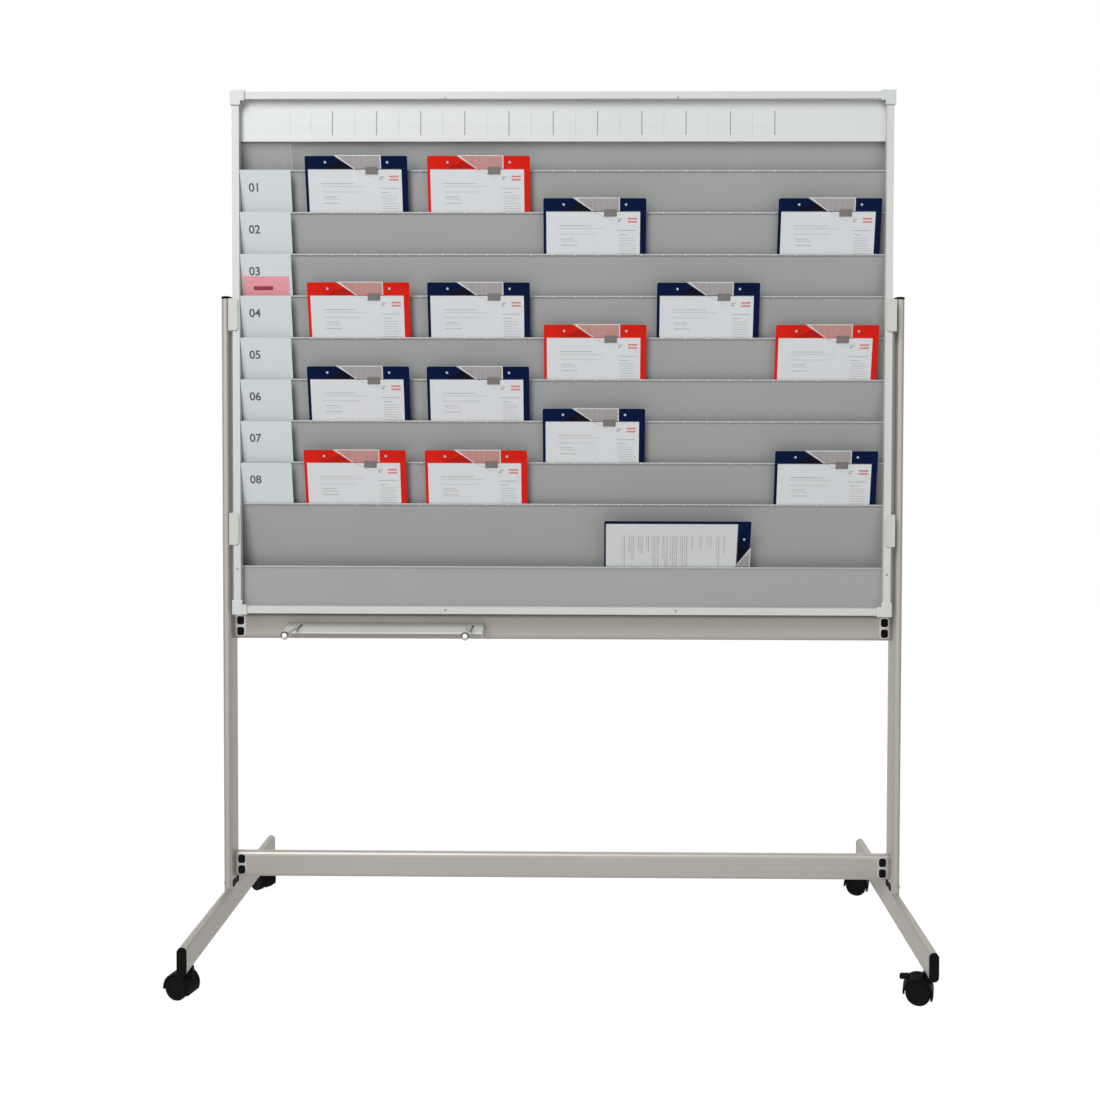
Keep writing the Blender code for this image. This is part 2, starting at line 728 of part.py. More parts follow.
def make_back_panel(name, finish):
    """The flat panel that closes the board and carries the pocket sheets."""
    half = BOARD_SIDE_X - FRAME_WALL - GAP
    low = (-half, BOARD_UNDERSIDE + FRAME_WALL + GAP)
    high = (half, BOARD_TOP - FRAME_WALL - GAP)
    bm = bmesh.new()
    add_prism(bm, box_outline(low, high), "Y", PANEL_Y, PANEL_Y + PANEL_THICKNESS)
    return add_object(name, finish_mesh(bm, name), finish)


def make_header(name, finish):
    """The white strip across the top, with a lip that turns back under it."""
    front_y = EDGE_Y
    top_z = BOARD_TOP - FRAME_WALL - GAP
    section = [
        (front_y, top_z),
        (front_y, HEADER_LIP_Z),
        (front_y + HEADER_LIP, HEADER_LIP_Z),
        (front_y + HEADER_LIP, HEADER_LIP_Z + HEADER_SHEET),
        (front_y + HEADER_SHEET, HEADER_LIP_Z + HEADER_SHEET),
        (front_y + HEADER_SHEET, top_z),
    ]
    bm = bmesh.new()
    add_prism(bm, section, "X", -SHEET_HALF, SHEET_HALF)
    return add_object(name, finish_mesh(bm, name), finish)


def edge_height(index):
    """Height of a pocket sheet's top edge."""
    if index == POCKET_COUNT - 1:
        return LAST_EDGE_Z
    return FIRST_EDGE_Z - index * EDGE_PITCH


def make_sheet(name, index, finish):
    """A pocket sheet: hemmed edge, a wall that leans back to the panel, and a flange down the panel."""
    edge_z = edge_height(index)
    hem_z = edge_z - SHEET_HEM
    lean = math.tan(POCKET_LEAN)
    bend_z = edge_z - POCKET_RUN
    flange_z = bend_z - SHEET_FLANGE
    flange_y = SHEET_BACK_Y - SHEET_THICKNESS
    outer_bend_z = edge_z - (flange_y - EDGE_Y - SHEET_SKIN) / lean

    def front(z, layers):
        return EDGE_Y + SHEET_SKIN * (2 - layers) + (edge_z - z) * lean

    outline = [
        (front(edge_z, 0), edge_z),
        (SHEET_BACK_Y, bend_z),
        (SHEET_BACK_Y, flange_z),
        (flange_y, flange_z),
        (flange_y, outer_bend_z),
        (front(hem_z, 1), hem_z),
        (front(hem_z, 2), hem_z),
        (front(edge_z, 2), edge_z),
    ]
    bm = bmesh.new()
    add_prism(bm, outline, "X", -SHEET_HALF, SHEET_HALF)
    return add_object(name, finish_mesh(bm, name), finish)


def make_last_sheet(name, finish):
    """The lowest pocket: an upright hemmed front, a floor on the frame, and a flange up the panel."""
    hem_z = LAST_EDGE_Z - SHEET_HEM
    flange_z = LAST_FLOOR_Z + SHEET_FLANGE
    under_z = LAST_FLOOR_Z - SHEET_THICKNESS
    outline = [
        (LAST_PLATE_Y, LAST_EDGE_Z),
        (LAST_PLATE_Y, LAST_FLOOR_Z),
        (SHEET_BACK_Y - SHEET_THICKNESS, LAST_FLOOR_Z),
        (SHEET_BACK_Y - SHEET_THICKNESS, flange_z),
        (SHEET_BACK_Y, flange_z),
        (SHEET_BACK_Y, under_z),
        (LAST_PLATE_Y - SHEET_THICKNESS, under_z),
        (LAST_PLATE_Y - SHEET_THICKNESS, hem_z),
        (EDGE_Y, hem_z),
        (EDGE_Y, LAST_EDGE_Z),
    ]
    bm = bmesh.new()
    add_prism(bm, outline, "X", -SHEET_HALF, SHEET_HALF)
    return add_object(name, finish_mesh(bm, name), finish)


# Folders

def folder_outlines(width):
    """The folder's back and front layers, from its lower left corner."""
    top = FOLDER_HEIGHT
    band = top - FOLDER_BAND
    notch_left, notch_low, notch_right = [share * width for share in FOLDER_NOTCH_SHARES]
    quarter = math.pi / 2
    left, right = FOLDER_CORNER, width - FOLDER_CORNER
    lower, upper = FOLDER_CORNER, top - FOLDER_CORNER
    steps = FOLDER_CORNER_STEPS
    back = arc((left, lower), FOLDER_CORNER, 2 * quarter, 3 * quarter, steps)
    back += arc((right, lower), FOLDER_CORNER, 3 * quarter, 4 * quarter, steps)
    back += arc((right, upper), FOLDER_CORNER, 0.0, quarter, steps)
    back += [(notch_right, top), (notch_right, band), (notch_low, band), (notch_left, top)]
    back += arc((left, upper), FOLDER_CORNER, quarter, 2 * quarter, steps)
    front = [
        (FOLDER_EDGE, FOLDER_EDGE),
        (width - FOLDER_EDGE, FOLDER_EDGE),
        (width - FOLDER_EDGE, band),
        (notch_right, band),
        (notch_right, top + FOLDER_TAB),
        (notch_left, top + FOLDER_TAB),
        (notch_low, band),
        (FOLDER_EDGE, band),
    ]
    return back, front


def folder_mesh(name, width):
    """A job folder standing in the XZ plane: back cover, clear front with its tab, clip, two holes."""
    back, front = folder_outlines(width)
    seam_y = -FOLDER_BACK
    bm = bmesh.new()
    add_prism(bm, back, "Y", seam_y, 0.0)
    cover = add_object(name, finish_mesh(bm, name), None, smooth=False)
    layer = bmesh.new()
    add_prism(layer, front, "Y", seam_y - FOLDER_FRONT, seam_y / 2)
    front_tool = add_tool(name + "_front", finish_mesh(layer, name + "_front"))
    combine(cover, "UNION", front_tool)
    clip = bmesh.new()
    clip_left = FOLDER_CLIP_SHARE * width
    clip_top = FOLDER_HEIGHT - FOLDER_BAND
    low = (clip_left, clip_top - FOLDER_CLIP_HEIGHT)
    high = (clip_left + FOLDER_CLIP_WIDTH, clip_top)
    clip_front = seam_y - FOLDER_FRONT - FOLDER_CLIP_STAND
    add_prism(clip, box_outline(low, high), "Y", clip_front, seam_y - FOLDER_FRONT / 2)
    clip_tool = add_tool(name + "_clip", finish_mesh(clip, name + "_clip"))
    combine(cover, "UNION", clip_tool)
    holes = bmesh.new()
    hole_z = FOLDER_HEIGHT - FOLDER_BAND / 2
    for share in FOLDER_HOLE_SHARES:
        ring = circle((share * width, hole_z), FOLDER_HOLE, HOLE_STEPS)
        add_prism(holes, ring, "Y", clip_front - OVERRUN, OVERRUN)
    hole_tool = add_tool(name + "_holes", finish_mesh(holes, name + "_holes"))
    combine(cover, "DIFFERENCE", hole_tool)
    mesh = settled_mesh(cover, name)
    drop(cover, front_tool, clip_tool, hole_tool)
    return mesh


def place_folders(standing):
    """Put the upright folders into their pockets, parallel to the sheet, each on its own slide axis."""
    depth = (FOLDER_BODY + FOLDER_STANDOFF) / math.cos(POCKET_LEAN)
    fall = POCKET_RUN - depth / math.tan(POCKET_LEAN)
    spare = 2 * OPENING_HALF - FOLDER_COLUMNS * FOLDER_WIDTH
    for number, (colour, pocket, column, share) in enumerate(FOLDER_PLACE_SHARES, start=1):
        name = f"folder_{number:02d}_{colour}"
        left = -OPENING_HALF + column * FOLDER_WIDTH + share * spare
        axis = add_empty(name + "_slide", (left + FOLDER_WIDTH / 2, SHEET_BACK_Y, edge_height(pocket) - fall))
        axis.rotation_euler = (POCKET_LEAN, 0.0, 0.0)
        folder = add_object(name, standing[colour], None, parent=axis, smooth=False)
        folder.location = (-FOLDER_WIDTH / 2, 0.0, 0.0)


def place_lying_folder(name, mesh):
    """The folder on its long side: it stands at the back of the last pocket and leans on its edge."""
    back_y = SHEET_BACK_Y - SHEET_THICKNESS - GAP
    reach = back_y - LAST_PLATE_Y
    depth = FOLDER_BODY + FOLDER_CLIP_STAND + GAP
    lean = POCKET_LEAN
    for _ in range(LEAN_ROUNDS):
        foot_z = LAST_FLOOR_Z + GAP + FOLDER_BODY * math.sin(lean)
        rise = LAST_EDGE_Z - foot_z
        lean = math.acos(depth / math.hypot(reach, rise)) - math.atan2(rise, reach)
    side = OPENING_HALF - FOLDER_HEIGHT / 2
    axis = add_empty(name + "_slide", (-side + 2 * side * LYING_FOLDER_SHARE, back_y, foot_z))
    axis.rotation_euler = (lean, 0.0, 0.0)
    folder = add_object(name, mesh, None, parent=axis, smooth=False)
    folder.rotation_euler = (0.0, math.pi / 2, 0.0)
    folder.location = (-FOLDER_HEIGHT / 2, 0.0, LYING_FOLDER_WIDTH)


# Casters

def hood_outline(radius):
    """Side view of the hood: its outer arc, closed round the hub."""
    centre = (-CASTER_TRAIL, AXLE_Z)
    start, end = HOOD_ANGLES
    points = arc(centre, radius, start, end, HOOD_STEPS)
    points += arc(centre, HOOD_HUB, *HOOD_HUB_ANGLES, HOOD_HUB_STEPS)
    return points


def capsule(first, first_radius, second, second_radius, steps):
    """Two round ends joined by straight sides."""
    angle = math.atan2(second[1] - first[1], second[0] - first[0])
    quarter = math.pi / 2
    points = arc(second, second_radius, angle - quarter, angle + quarter, steps)
    points += arc(first, first_radius, angle + quarter, angle + 3 * quarter, steps)
    return points


def brake_points():
    """Pivot, root on the hood and knob of the brake pedal, in the caster's side view."""
    centre = (-CASTER_TRAIL, AXLE_Z)
    outward = (math.cos(BRAKE_ANGLE), math.sin(BRAKE_ANGLE))
    pivot = (centre[0] + BRAKE_STAND * outward[0], centre[1] + BRAKE_STAND * outward[1])
    root = (centre[0] + BRAKE_ROOT * outward[0], centre[1] + BRAKE_ROOT * outward[1])
    knob = (pivot[0] + BRAKE_REACH * math.cos(BRAKE_TILT), pivot[1] + BRAKE_REACH * math.sin(BRAKE_TILT))
    return pivot, root, knob


def housing_mesh(name, with_brake):
    """Hood, boss and stem in one moulding, cut out for the wheels and their axle."""
    shoulder = HOOD_HALF_WIDTH - HOOD_SHOULDER
    narrow = hood_outline(HOOD_RADIUS - HOOD_SHOULDER / 2)
    wide = hood_outline(HOOD_RADIUS)
    levels = ((narrow, -HOOD_HALF_WIDTH), (wide, -shoulder), (wide, shoulder), (narrow, HOOD_HALF_WIDTH))
    bm = bmesh.new()
    add_loft(bm, "Y", levels)
    hood = add_object(name, finish_mesh(bm, name), None)
    tools = []
    boss = bmesh.new()
    add_prism(boss, circle((0.0, 0.0), STEM_BOSS, STEM_STEPS), "Z", STEM_BOSS_BOTTOM, FOOT_UNDERSIDE - GAP)
    tools.append(("UNION", "boss", boss))
    stem = bmesh.new()
    stem_top = FOOT_UNDERSIDE + PROFILE_WALL + STEM_RISE
    stem_ring = circle((0.0, 0.0), STEM_RADIUS, STEM_STEPS)
    add_prism(stem, stem_ring, "Z", FOOT_UNDERSIDE - STEM_BOSS, stem_top)
    tools.append(("UNION", "stem", stem))
    if with_brake:
        pivot, root, knob = brake_points()
        ears = bmesh.new()
        outline = capsule(root, BRAKE_BARREL, pivot, BRAKE_BARREL, BRAKE_STEPS)
        for side in (-1, 1):
            levels = sorted((side * (BRAKE_HALF_WIDTH + GAP), side * (BRAKE_HALF_WIDTH + GAP + BRAKE_EAR)))
            add_prism(ears, outline, "Y", *levels)
        tools.append(("UNION", "ears", ears))
    wells = bmesh.new()
    ring = circle((-CASTER_TRAIL, AXLE_Z), HOOD_WELL, 2 * HOOD_STEPS)
    for side in (-1, 1):
        levels = sorted((side * HOOD_WEB, side * (HOOD_HALF_WIDTH + OVERRUN)))
        add_prism(wells, ring, "Y", *levels)
    tools.append(("DIFFERENCE", "wells", wells))
    bore = bmesh.new()
    reach = HOOD_WEB + OVERRUN
    add_prism(bore, circle((-CASTER_TRAIL, AXLE_Z), AXLE_BORE, STEM_STEPS), "Y", -reach, reach)
    tools.append(("DIFFERENCE", "bore", bore))
    if with_brake:
        pin = bmesh.new()
        span = BRAKE_HALF_WIDTH + GAP + BRAKE_EAR / 2
        add_prism(pin, circle(pivot, BRAKE_PIN, BRAKE_STEPS), "Y", -span, span)
        tools.append(("UNION", "pin", pin))
    helpers = []
    for operation, label, shape in tools:
        helper = add_tool(f"{name}_{label}", finish_mesh(shape, f"{name}_{label}"))
        combine(hood, operation, helper)
        helpers.append(helper)
    mesh = settled_mesh(hood, name)
    drop(hood, *helpers)
    return mesh


def wheels_mesh(name):
    """Two wheels and their axle as one turned piece, standing on a flat of its rim."""
    rim = WHEEL_RADIUS / math.cos(math.pi / WHEEL_STEPS)
    face = WHEEL_OUTER_FACE
    half = [
        (0.0, face),
        (WHEEL_HUB_RADIUS, face),
        (WHEEL_HUB_RADIUS + WHEEL_DISH, face - WHEEL_DISH),
        (WHEEL_DISH_RADIUS, face - WHEEL_DISH),
        (WHEEL_DISH_RADIUS + WHEEL_DISH, face),
        (rim - WHEEL_EDGE, face),
        (rim, face - WHEEL_EDGE),
        (rim, WHEEL_INNER_FACE + WHEEL_EDGE),
        (rim - WHEEL_EDGE, WHEEL_INNER_FACE),
        (AXLE_RADIUS, WHEEL_INNER_FACE),
    ]
    profile = half + [(radius, -along) for radius, along in reversed(half)]
    bm = bmesh.new()
    add_turning(bm, profile, WHEEL_STEPS)
    return finish_mesh(bm, name)


def brake_mesh(name):
    """The brake pedal: a knob, a neck and a barrel bored for the pin."""
    pivot, root, knob = brake_points()
    reach = (knob[0] - pivot[0], knob[1] - pivot[1])
    outline = capsule((0.0, 0.0), BRAKE_BARREL, reach, BRAKE_KNOB, BRAKE_STEPS)
    bm = bmesh.new()
    add_prism(bm, outline, "Y", -BRAKE_HALF_WIDTH, BRAKE_HALF_WIDTH)
    pedal = add_object(name, finish_mesh(bm, name), None)
    bore = bmesh.new()
    span = BRAKE_HALF_WIDTH + OVERRUN
    add_prism(bore, circle((0.0, 0.0), BRAKE_BORE, BRAKE_STEPS), "Y", -span, span)
    tool = add_tool(name + "_bore", finish_mesh(bore, name + "_bore"))
    combine(pedal, "DIFFERENCE", tool)
    mesh = settled_mesh(pedal, name)
    drop(pedal, tool)
    return mesh


def make_casters(black, tread):
    """Four casters: a housing that swivels on its stem, and wheels that turn in it."""
    plain = housing_mesh("caster_housing", False)
    braked = housing_mesh("caster_housing_with_ears", True)
    wheels = wheels_mesh("caster_wheels")
    pivot = brake_points()[0]
    stem_y = FOOT_LENGTH / 2 - CASTER_INSET
    for name, side, end, turn in CASTERS:
        has_brake = name == "front_right"
        axis = add_empty(name + "_swivel", (side * POST_X, end * stem_y, 0.0), -turn)
        add_object(name + "_caster_housing", braked if has_brake else plain, black, parent=axis)
        pair = add_object(name + "_caster_wheels", wheels, tread, parent=axis)
        pair.location = (-CASTER_TRAIL, 0.0, AXLE_Z)
        if has_brake:
            pedal = add_object(name + "_brake_pedal", brake_mesh("brake_pedal"), black, parent=axis)
            pedal.location = (pivot[0], 0.0, pivot[1])


# Assembly

def centre_footprint():
    """Move the whole model so that the middle of its outline lies over the origin."""
    bpy.context.view_layer.update()
    graph = bpy.context.evaluated_depsgraph_get()
    corners = []
    for piece in bpy.context.scene.objects:
        if piece.type == "MESH" and not piece.hide_render:
            shape = piece.evaluated_get(graph)
            corners += [shape.matrix_world @ Vector(corner) for corner in shape.bound_box]
    shift = []
    for axis in (0, 1):
        values = [corner[axis] for corner in corners]
        shift.append(-(min(values) + max(values)) / 2)
    move = Matrix.Translation((shift[0], shift[1], 0.0))
    for piece in bpy.context.scene.objects:
        if piece.parent is None:
            piece.matrix_world = move @ piece.matrix_world
    bpy.context.view_layer.update()
    return shift


def build():
    """Clear the scene and make every piece."""
    for piece in list(bpy.data.objects):
        bpy.data.objects.remove(piece, do_unlink=True)
    silver = material("anodised_profile", (0.62, 0.62, 0.58), 0.42, 0.85)
    frame_paint = material("frame_paint", (0.79, 0.82, 0.79), 0.38, 0.0)
    corner_plastic = material("corner_plastic", (0.80, 0.83, 0.80), 0.45, 0.0)
    sheet_grey = material("pocket_grey", (0.36, 0.38, 0.39), 0.55, 0.0)
    header_white = material("header_white", (0.80, 0.83, 0.84), 0.45, 0.0)
    panel_grey = material("panel_grey", (0.36, 0.38, 0.39), 0.60, 0.0)
    black = material("black_plastic", (0.018, 0.018, 0.020), 0.45, 0.0)
    tread = material("wheel_black", (0.015, 0.015, 0.016), 0.55, 0.0)
    rail_paint = material("rail_paint", (0.70, 0.73, 0.70), 0.40, 0.0)
    covers = {
        "blue": material("folder_blue", (0.010, 0.035, 0.130), 0.45, 0.0),
        "red": material("folder_red", (0.700, 0.030, 0.030), 0.45, 0.0),
    }

    for label, side in (("left", -1), ("right", 1)):
        make_post(label + "_post", side, silver)
        make_foot(label + "_foot", side, silver)
        for place, end in (("front", -1), ("rear", 1)):
            make_foot_cap(f"{label}_foot_{place}_cap", side, end, black)
        make_clamp(label + "_upper_clamp", side, POST_TOP - UPPER_CLAMP_DROP, frame_paint)
        make_clamp(label + "_lower_clamp", side, BOARD_UNDERSIDE + LOWER_CLAMP_RISE, frame_paint)
        make_frame_bar(f"frame_{label}_bar", False, side, frame_paint)
        for place, rise in (("top", 1), ("bottom", -1)):
            make_corner_cap(f"frame_{place}_{label}_corner", side, rise, corner_plastic)
    make_frame_bar("frame_top_bar", True, 1, frame_paint)
    make_frame_bar("frame_bottom_bar", True, -1, frame_paint)
    make_crossbar("upper_crossbar", UPPER_BAR_HEIGHT, silver)
    make_crossbar("lower_crossbar", LOWER_BAR_HEIGHT, silver)
    make_pad_rail("pad_rail", rail_paint)
    make_back_panel("back_panel", panel_grey)
    make_header("header_strip", header_white)
    for index in range(POCKET_COUNT - 1):
        make_sheet(f"pocket_sheet_{index:02d}", index, sheet_grey)
    make_last_sheet(f"pocket_sheet_{POCKET_COUNT - 1:02d}", sheet_grey)

    standing = {}
    for colour, finish in covers.items():
        standing[colour] = folder_mesh("standing_folder_" + colour, FOLDER_WIDTH)
        standing[colour].materials.append(finish)
    lying = folder_mesh("lying_folder", LYING_FOLDER_WIDTH)
    lying.materials.append(covers["blue"])
    place_folders(standing)
    place_lying_folder(f"folder_{len(FOLDER_PLACE_SHARES) + 1:02d}_blue", lying)
    make_casters(black, tread)
    return centre_footprint()


SHIFT = build()
print("moved by", [round(value, 5) for value in SHIFT])
print("pieces", sum(1 for piece in bpy.data.objects if piece.type == "MESH" and not piece.hide_render))
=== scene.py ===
# %% [markdown]
# # A mobile planning board
#
# The real object is a framed board full of sheet-metal pockets. It hangs between two aluminium
# posts on a stand with four twin-wheel casters, and job folders stand in its pockets.
# The construction model comes ready made, as fixed solids in metres. This lesson dresses it:
# each solid gets a finish, and small things that solids are too coarse for are modelled here.

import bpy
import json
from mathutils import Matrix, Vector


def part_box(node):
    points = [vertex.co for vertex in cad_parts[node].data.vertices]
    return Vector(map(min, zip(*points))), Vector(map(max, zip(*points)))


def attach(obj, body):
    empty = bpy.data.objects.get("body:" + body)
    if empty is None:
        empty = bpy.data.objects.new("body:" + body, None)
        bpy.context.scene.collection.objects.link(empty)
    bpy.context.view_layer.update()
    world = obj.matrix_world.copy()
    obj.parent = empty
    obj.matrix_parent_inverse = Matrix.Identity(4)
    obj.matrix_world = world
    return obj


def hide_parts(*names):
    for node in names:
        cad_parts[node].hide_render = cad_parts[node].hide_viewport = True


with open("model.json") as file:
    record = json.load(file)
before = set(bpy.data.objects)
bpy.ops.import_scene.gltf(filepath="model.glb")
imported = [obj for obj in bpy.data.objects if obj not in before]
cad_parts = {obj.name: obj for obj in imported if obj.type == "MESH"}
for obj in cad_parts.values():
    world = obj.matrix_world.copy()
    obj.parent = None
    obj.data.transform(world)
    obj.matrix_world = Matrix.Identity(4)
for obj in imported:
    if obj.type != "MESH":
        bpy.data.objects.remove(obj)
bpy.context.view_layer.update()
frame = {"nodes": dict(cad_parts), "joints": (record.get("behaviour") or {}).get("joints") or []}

# %% [markdown]
# ## Where things are
#
# No place is typed in twice. The posts say where the middle of the stand is, and the frame bars
# say where the board is, so everything below is measured from the loaded solids.

# %% Read the main places
import json
import math

import bmesh
import bpy
from mathutils import Matrix, Vector


def middle(node):
    """Centre of a solid's box."""
    low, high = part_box(node)
    return (low + high) / 2


MIDDLE_X = (middle("left_post").x + middle("right_post").x) / 2
MIDDLE_Y = middle("left_post").y
BOARD_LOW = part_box("frame_left_bar")[0]
BOARD_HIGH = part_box("frame_right_bar")[1]
FACE_Y = BOARD_LOW.y
print("board", [round(value, 3) for value in BOARD_HIGH - BOARD_LOW], "face at", round(FACE_Y, 4))

# %% [markdown]
# ## The camera
#
# The photograph was taken from 2.7 m in front, a little to the right and at chest height. The
# picture was cropped off centre, which is what the lens shift repeats.
# The camera's three directions come from its small turns, as in any survey.

# %% Set up the camera
PHOTO_SIZE = 1100.0
FOCAL_PIXELS = 1197.48
PRINCIPAL_POINT = (580.71, 459.40)
SENSOR = 36.0
CAMERA_PLACE = Vector((0.0738, -2.7456, 1.1815))
CAMERA_YAW = -0.0112
CAMERA_PITCH = 0.0244
CAMERA_ROLL = 0.0023


def camera_matrix():
    """Camera axes from yaw, pitch and roll."""
    ahead = Vector((math.sin(CAMERA_YAW), math.cos(CAMERA_YAW), -math.tan(CAMERA_PITCH))).normalized()
    right = Vector((math.cos(CAMERA_YAW), -math.sin(CAMERA_YAW), 0.0))
    up = right.cross(ahead)
    tilted_right = right * math.cos(CAMERA_ROLL) + up * math.sin(CAMERA_ROLL)
    tilted_up = up * math.cos(CAMERA_ROLL) - right * math.sin(CAMERA_ROLL)
    axes = Matrix((tilted_right, tilted_up, -ahead)).transposed().to_4x4()
    return Matrix.Translation(CAMERA_PLACE + Vector((MIDDLE_X, MIDDLE_Y, 0.0))) @ axes


lens = bpy.data.cameras.new("photo_camera")
lens.sensor_width = SENSOR
lens.lens = SENSOR * FOCAL_PIXELS / PHOTO_SIZE
lens.shift_x = (PHOTO_SIZE / 2 - PRINCIPAL_POINT[0]) / PHOTO_SIZE
lens.shift_y = (PRINCIPAL_POINT[1] - PHOTO_SIZE / 2) / PHOTO_SIZE
camera = bpy.data.objects.new("photo_camera", lens)
bpy.context.scene.collection.objects.link(camera)
camera.matrix_world = camera_matrix()
bpy.context.scene.camera = camera
print("lens", round(lens.lens, 2), "mm")

# %% [markdown]
# ## Floor and light
#
# The photograph has a white ground with hardly any shadow. The floor is pale warm paint that a
# direct look sees brighter than it is, so the ground stays white, the shadow stays faint, and the
# object is still lit at a plain level. The main light is a large soft box high above the front,
# because the top of the board is the brightest and the bars below it lie in its shadow. A weaker
# one stands lower, which keeps the shade under the frame's top bar and under the header soft.

# %% Tell a direct look from plain light
def add_node(tree, kind, sockets=None):
    """A new shader node, with values for some of its sockets."""
    node = tree.nodes.new(kind)
    for socket, value in (sockets or {}).items():
        node.inputs[socket].default_value = value
    return node


def seen_directly(tree):
    """1 for a ray from the camera, from a reflection or through film, and 0 for plain light."""
    ray = add_node(tree, "ShaderNodeLightPath")
    seen = ray.outputs["Is Camera Ray"]
    for kind in ("Is Glossy Ray", "Is Transmission Ray"):
        either = add_node(tree, "ShaderNodeMath")
        either.operation = "MAXIMUM"
        tree.links.new(seen, either.inputs[0])
        tree.links.new(ray.outputs[kind], either.inputs[1])
        seen = either.outputs[0]
    return seen


print("a direct look is white, plain light is softer")

# %% Make the floor
FLOOR_SIZE = 12.0
FLOOR_DROP = 0.0003
FLOOR_COLOUR = (0.64, 0.61, 0.57, 1.0)
FLOOR_WHITENESS = 0.84
FLOOR_GLOW = 1.14
FLOOR_ROUGHNESS = 0.9


def white_ground():
    """Pale floor paint that looks nearly white when it is seen directly."""
    finish = bpy.data.materials.new("white_ground")
    finish.use_nodes = True
    tree = finish.node_tree
    shader = tree.nodes["Principled BSDF"]
    shader.inputs["Base Color"].default_value = FLOOR_COLOUR
    shader.inputs["Roughness"].default_value = FLOOR_ROUGHNESS
    glow = add_node(tree, "ShaderNodeEmission", {"Strength": FLOOR_GLOW})
    blend = add_node(tree, "ShaderNodeMixShader")
    share = add_node(tree, "ShaderNodeMath", {1: FLOOR_WHITENESS})
    share.operation = "MULTIPLY"
    tree.links.new(seen_directly(tree), share.inputs[0])
    tree.links.new(share.outputs[0], blend.inputs["Fac"])
    tree.links.new(shader.outputs["BSDF"], blend.inputs[1])
    tree.links.new(glow.outputs["Emission"], blend.inputs[2])
    tree.links.new(blend.outputs["Shader"], tree.nodes["Material Output"].inputs["Surface"])
    return finish


bpy.ops.mesh.primitive_plane_add(size=FLOOR_SIZE, location=(0.0, 0.0, -FLOOR_DROP))
floor = bpy.context.object
floor.name = "floor"
floor.data.materials.append(white_ground())
print("floor", floor.dimensions[:2])

# %% Set the world and the lamps
AMBIENT = 0.29
LAMPS = (
    ("key_light", (-2.2, -5.8, 6.7), 3.8, 420.0),
    ("front_light", (-3.0, -6.6, 3.8), 3.0, 145.0),
    ("fill_light", (2.3, -3.2, 1.7), 2.2, 14.0),
    ("rear_light", (0.4, 3.4, 3.6), 2.6, 26.0),
)
AIM = Vector((0.0, 0.0, 1.1))


def white_world():
    """White to the camera, in reflections and through film; softer as a light."""
    world = bpy.data.worlds.new("studio")
    bpy.context.scene.world = world
    world.use_nodes = True
    tree = world.node_tree
    background = tree.nodes["Background"]
    level = add_node(tree, "ShaderNodeMapRange", {"To Min": AMBIENT, "To Max": 1.0})
    tree.links.new(seen_directly(tree), level.inputs["Value"])
    tree.links.new(level.outputs["Result"], background.inputs["Strength"])
    background.inputs["Color"].default_value = (1.0, 1.0, 1.0, 1.0)


def add_lamp(name, place, size, power):
    """A square soft box that looks at the board."""
    light = bpy.data.lights.new(name, "AREA")
    light.shape = "SQUARE"
    light.size = size
    light.energy = power
    lamp = bpy.data.objects.new(name, light)
    bpy.context.scene.collection.objects.link(lamp)
    lamp.location = place
    lamp.rotation_euler = (AIM - Vector(place)).to_track_quat("-Z", "Y").to_euler()


white_world()
for lamp_values in LAMPS:
    add_lamp(*lamp_values)
bpy.context.scene.view_settings.view_transform = "Standard"
print("lamps", len(LAMPS))

# %% [markdown]
# ## A kit for finishes
#
# A real surface is never one flat colour: paint has a fine skin, extruded aluminium has drawn
# lines, paper has fibres. Each finish below starts from Blender's Principled shader, and a few
# small helpers add noise to its colour, its roughness and its relief. The noise is read from the
# piece's own coordinates, so it stays on the piece when it moves.

# %% Helpers for finishes
NOISE_LOW = 0.3
NOISE_HIGH = 0.7
SKIN_DEPTH = 0.0002


def plain_finish(name, colour, roughness, metallic=0.0, mirror=0.5):
    """A Principled finish to build on; mirror is how much light its skin throws back."""
    finish = bpy.data.materials.new(name)
    finish.use_nodes = True
    shader = finish.node_tree.nodes["Principled BSDF"]
    shader.inputs["Base Color"].default_value = (*colour, 1.0)
    shader.inputs["Roughness"].default_value = roughness
    shader.inputs["Metallic"].default_value = metallic
    shader.inputs["Specular IOR Level"].default_value = mirror
    finish.diffuse_color = (*colour, 1.0)
    return finish


def grain(finish, scale, stretch=(1.0, 1.0, 1.0), detail=4.0):
    """Noise over the piece, stretched along its axes."""
    tree = finish.node_tree
    place = add_node(tree, "ShaderNodeTexCoord")
    mapping = add_node(tree, "ShaderNodeMapping", {"Scale": stretch})
    noise = add_node(tree, "ShaderNodeTexNoise", {"Scale": scale, "Detail": detail})
    tree.links.new(place.outputs["Object"], mapping.inputs["Vector"])
    tree.links.new(mapping.outputs["Vector"], noise.inputs["Vector"])
    return noise.outputs["Fac"]


def tint(finish, source, dark, light):
    """Let a noise run the colour between two shades."""
    tree = finish.node_tree
    ramp = add_node(tree, "ShaderNodeValToRGB")
    stops = ((NOISE_LOW, dark), (NOISE_HIGH, light))
    for element, (position, colour) in zip(ramp.color_ramp.elements, stops):
        element.position = position
        element.color = (*colour, 1.0)
    tree.links.new(source, ramp.inputs["Fac"])
    tree.links.new(ramp.outputs["Color"], tree.nodes["Principled BSDF"].inputs["Base Color"])


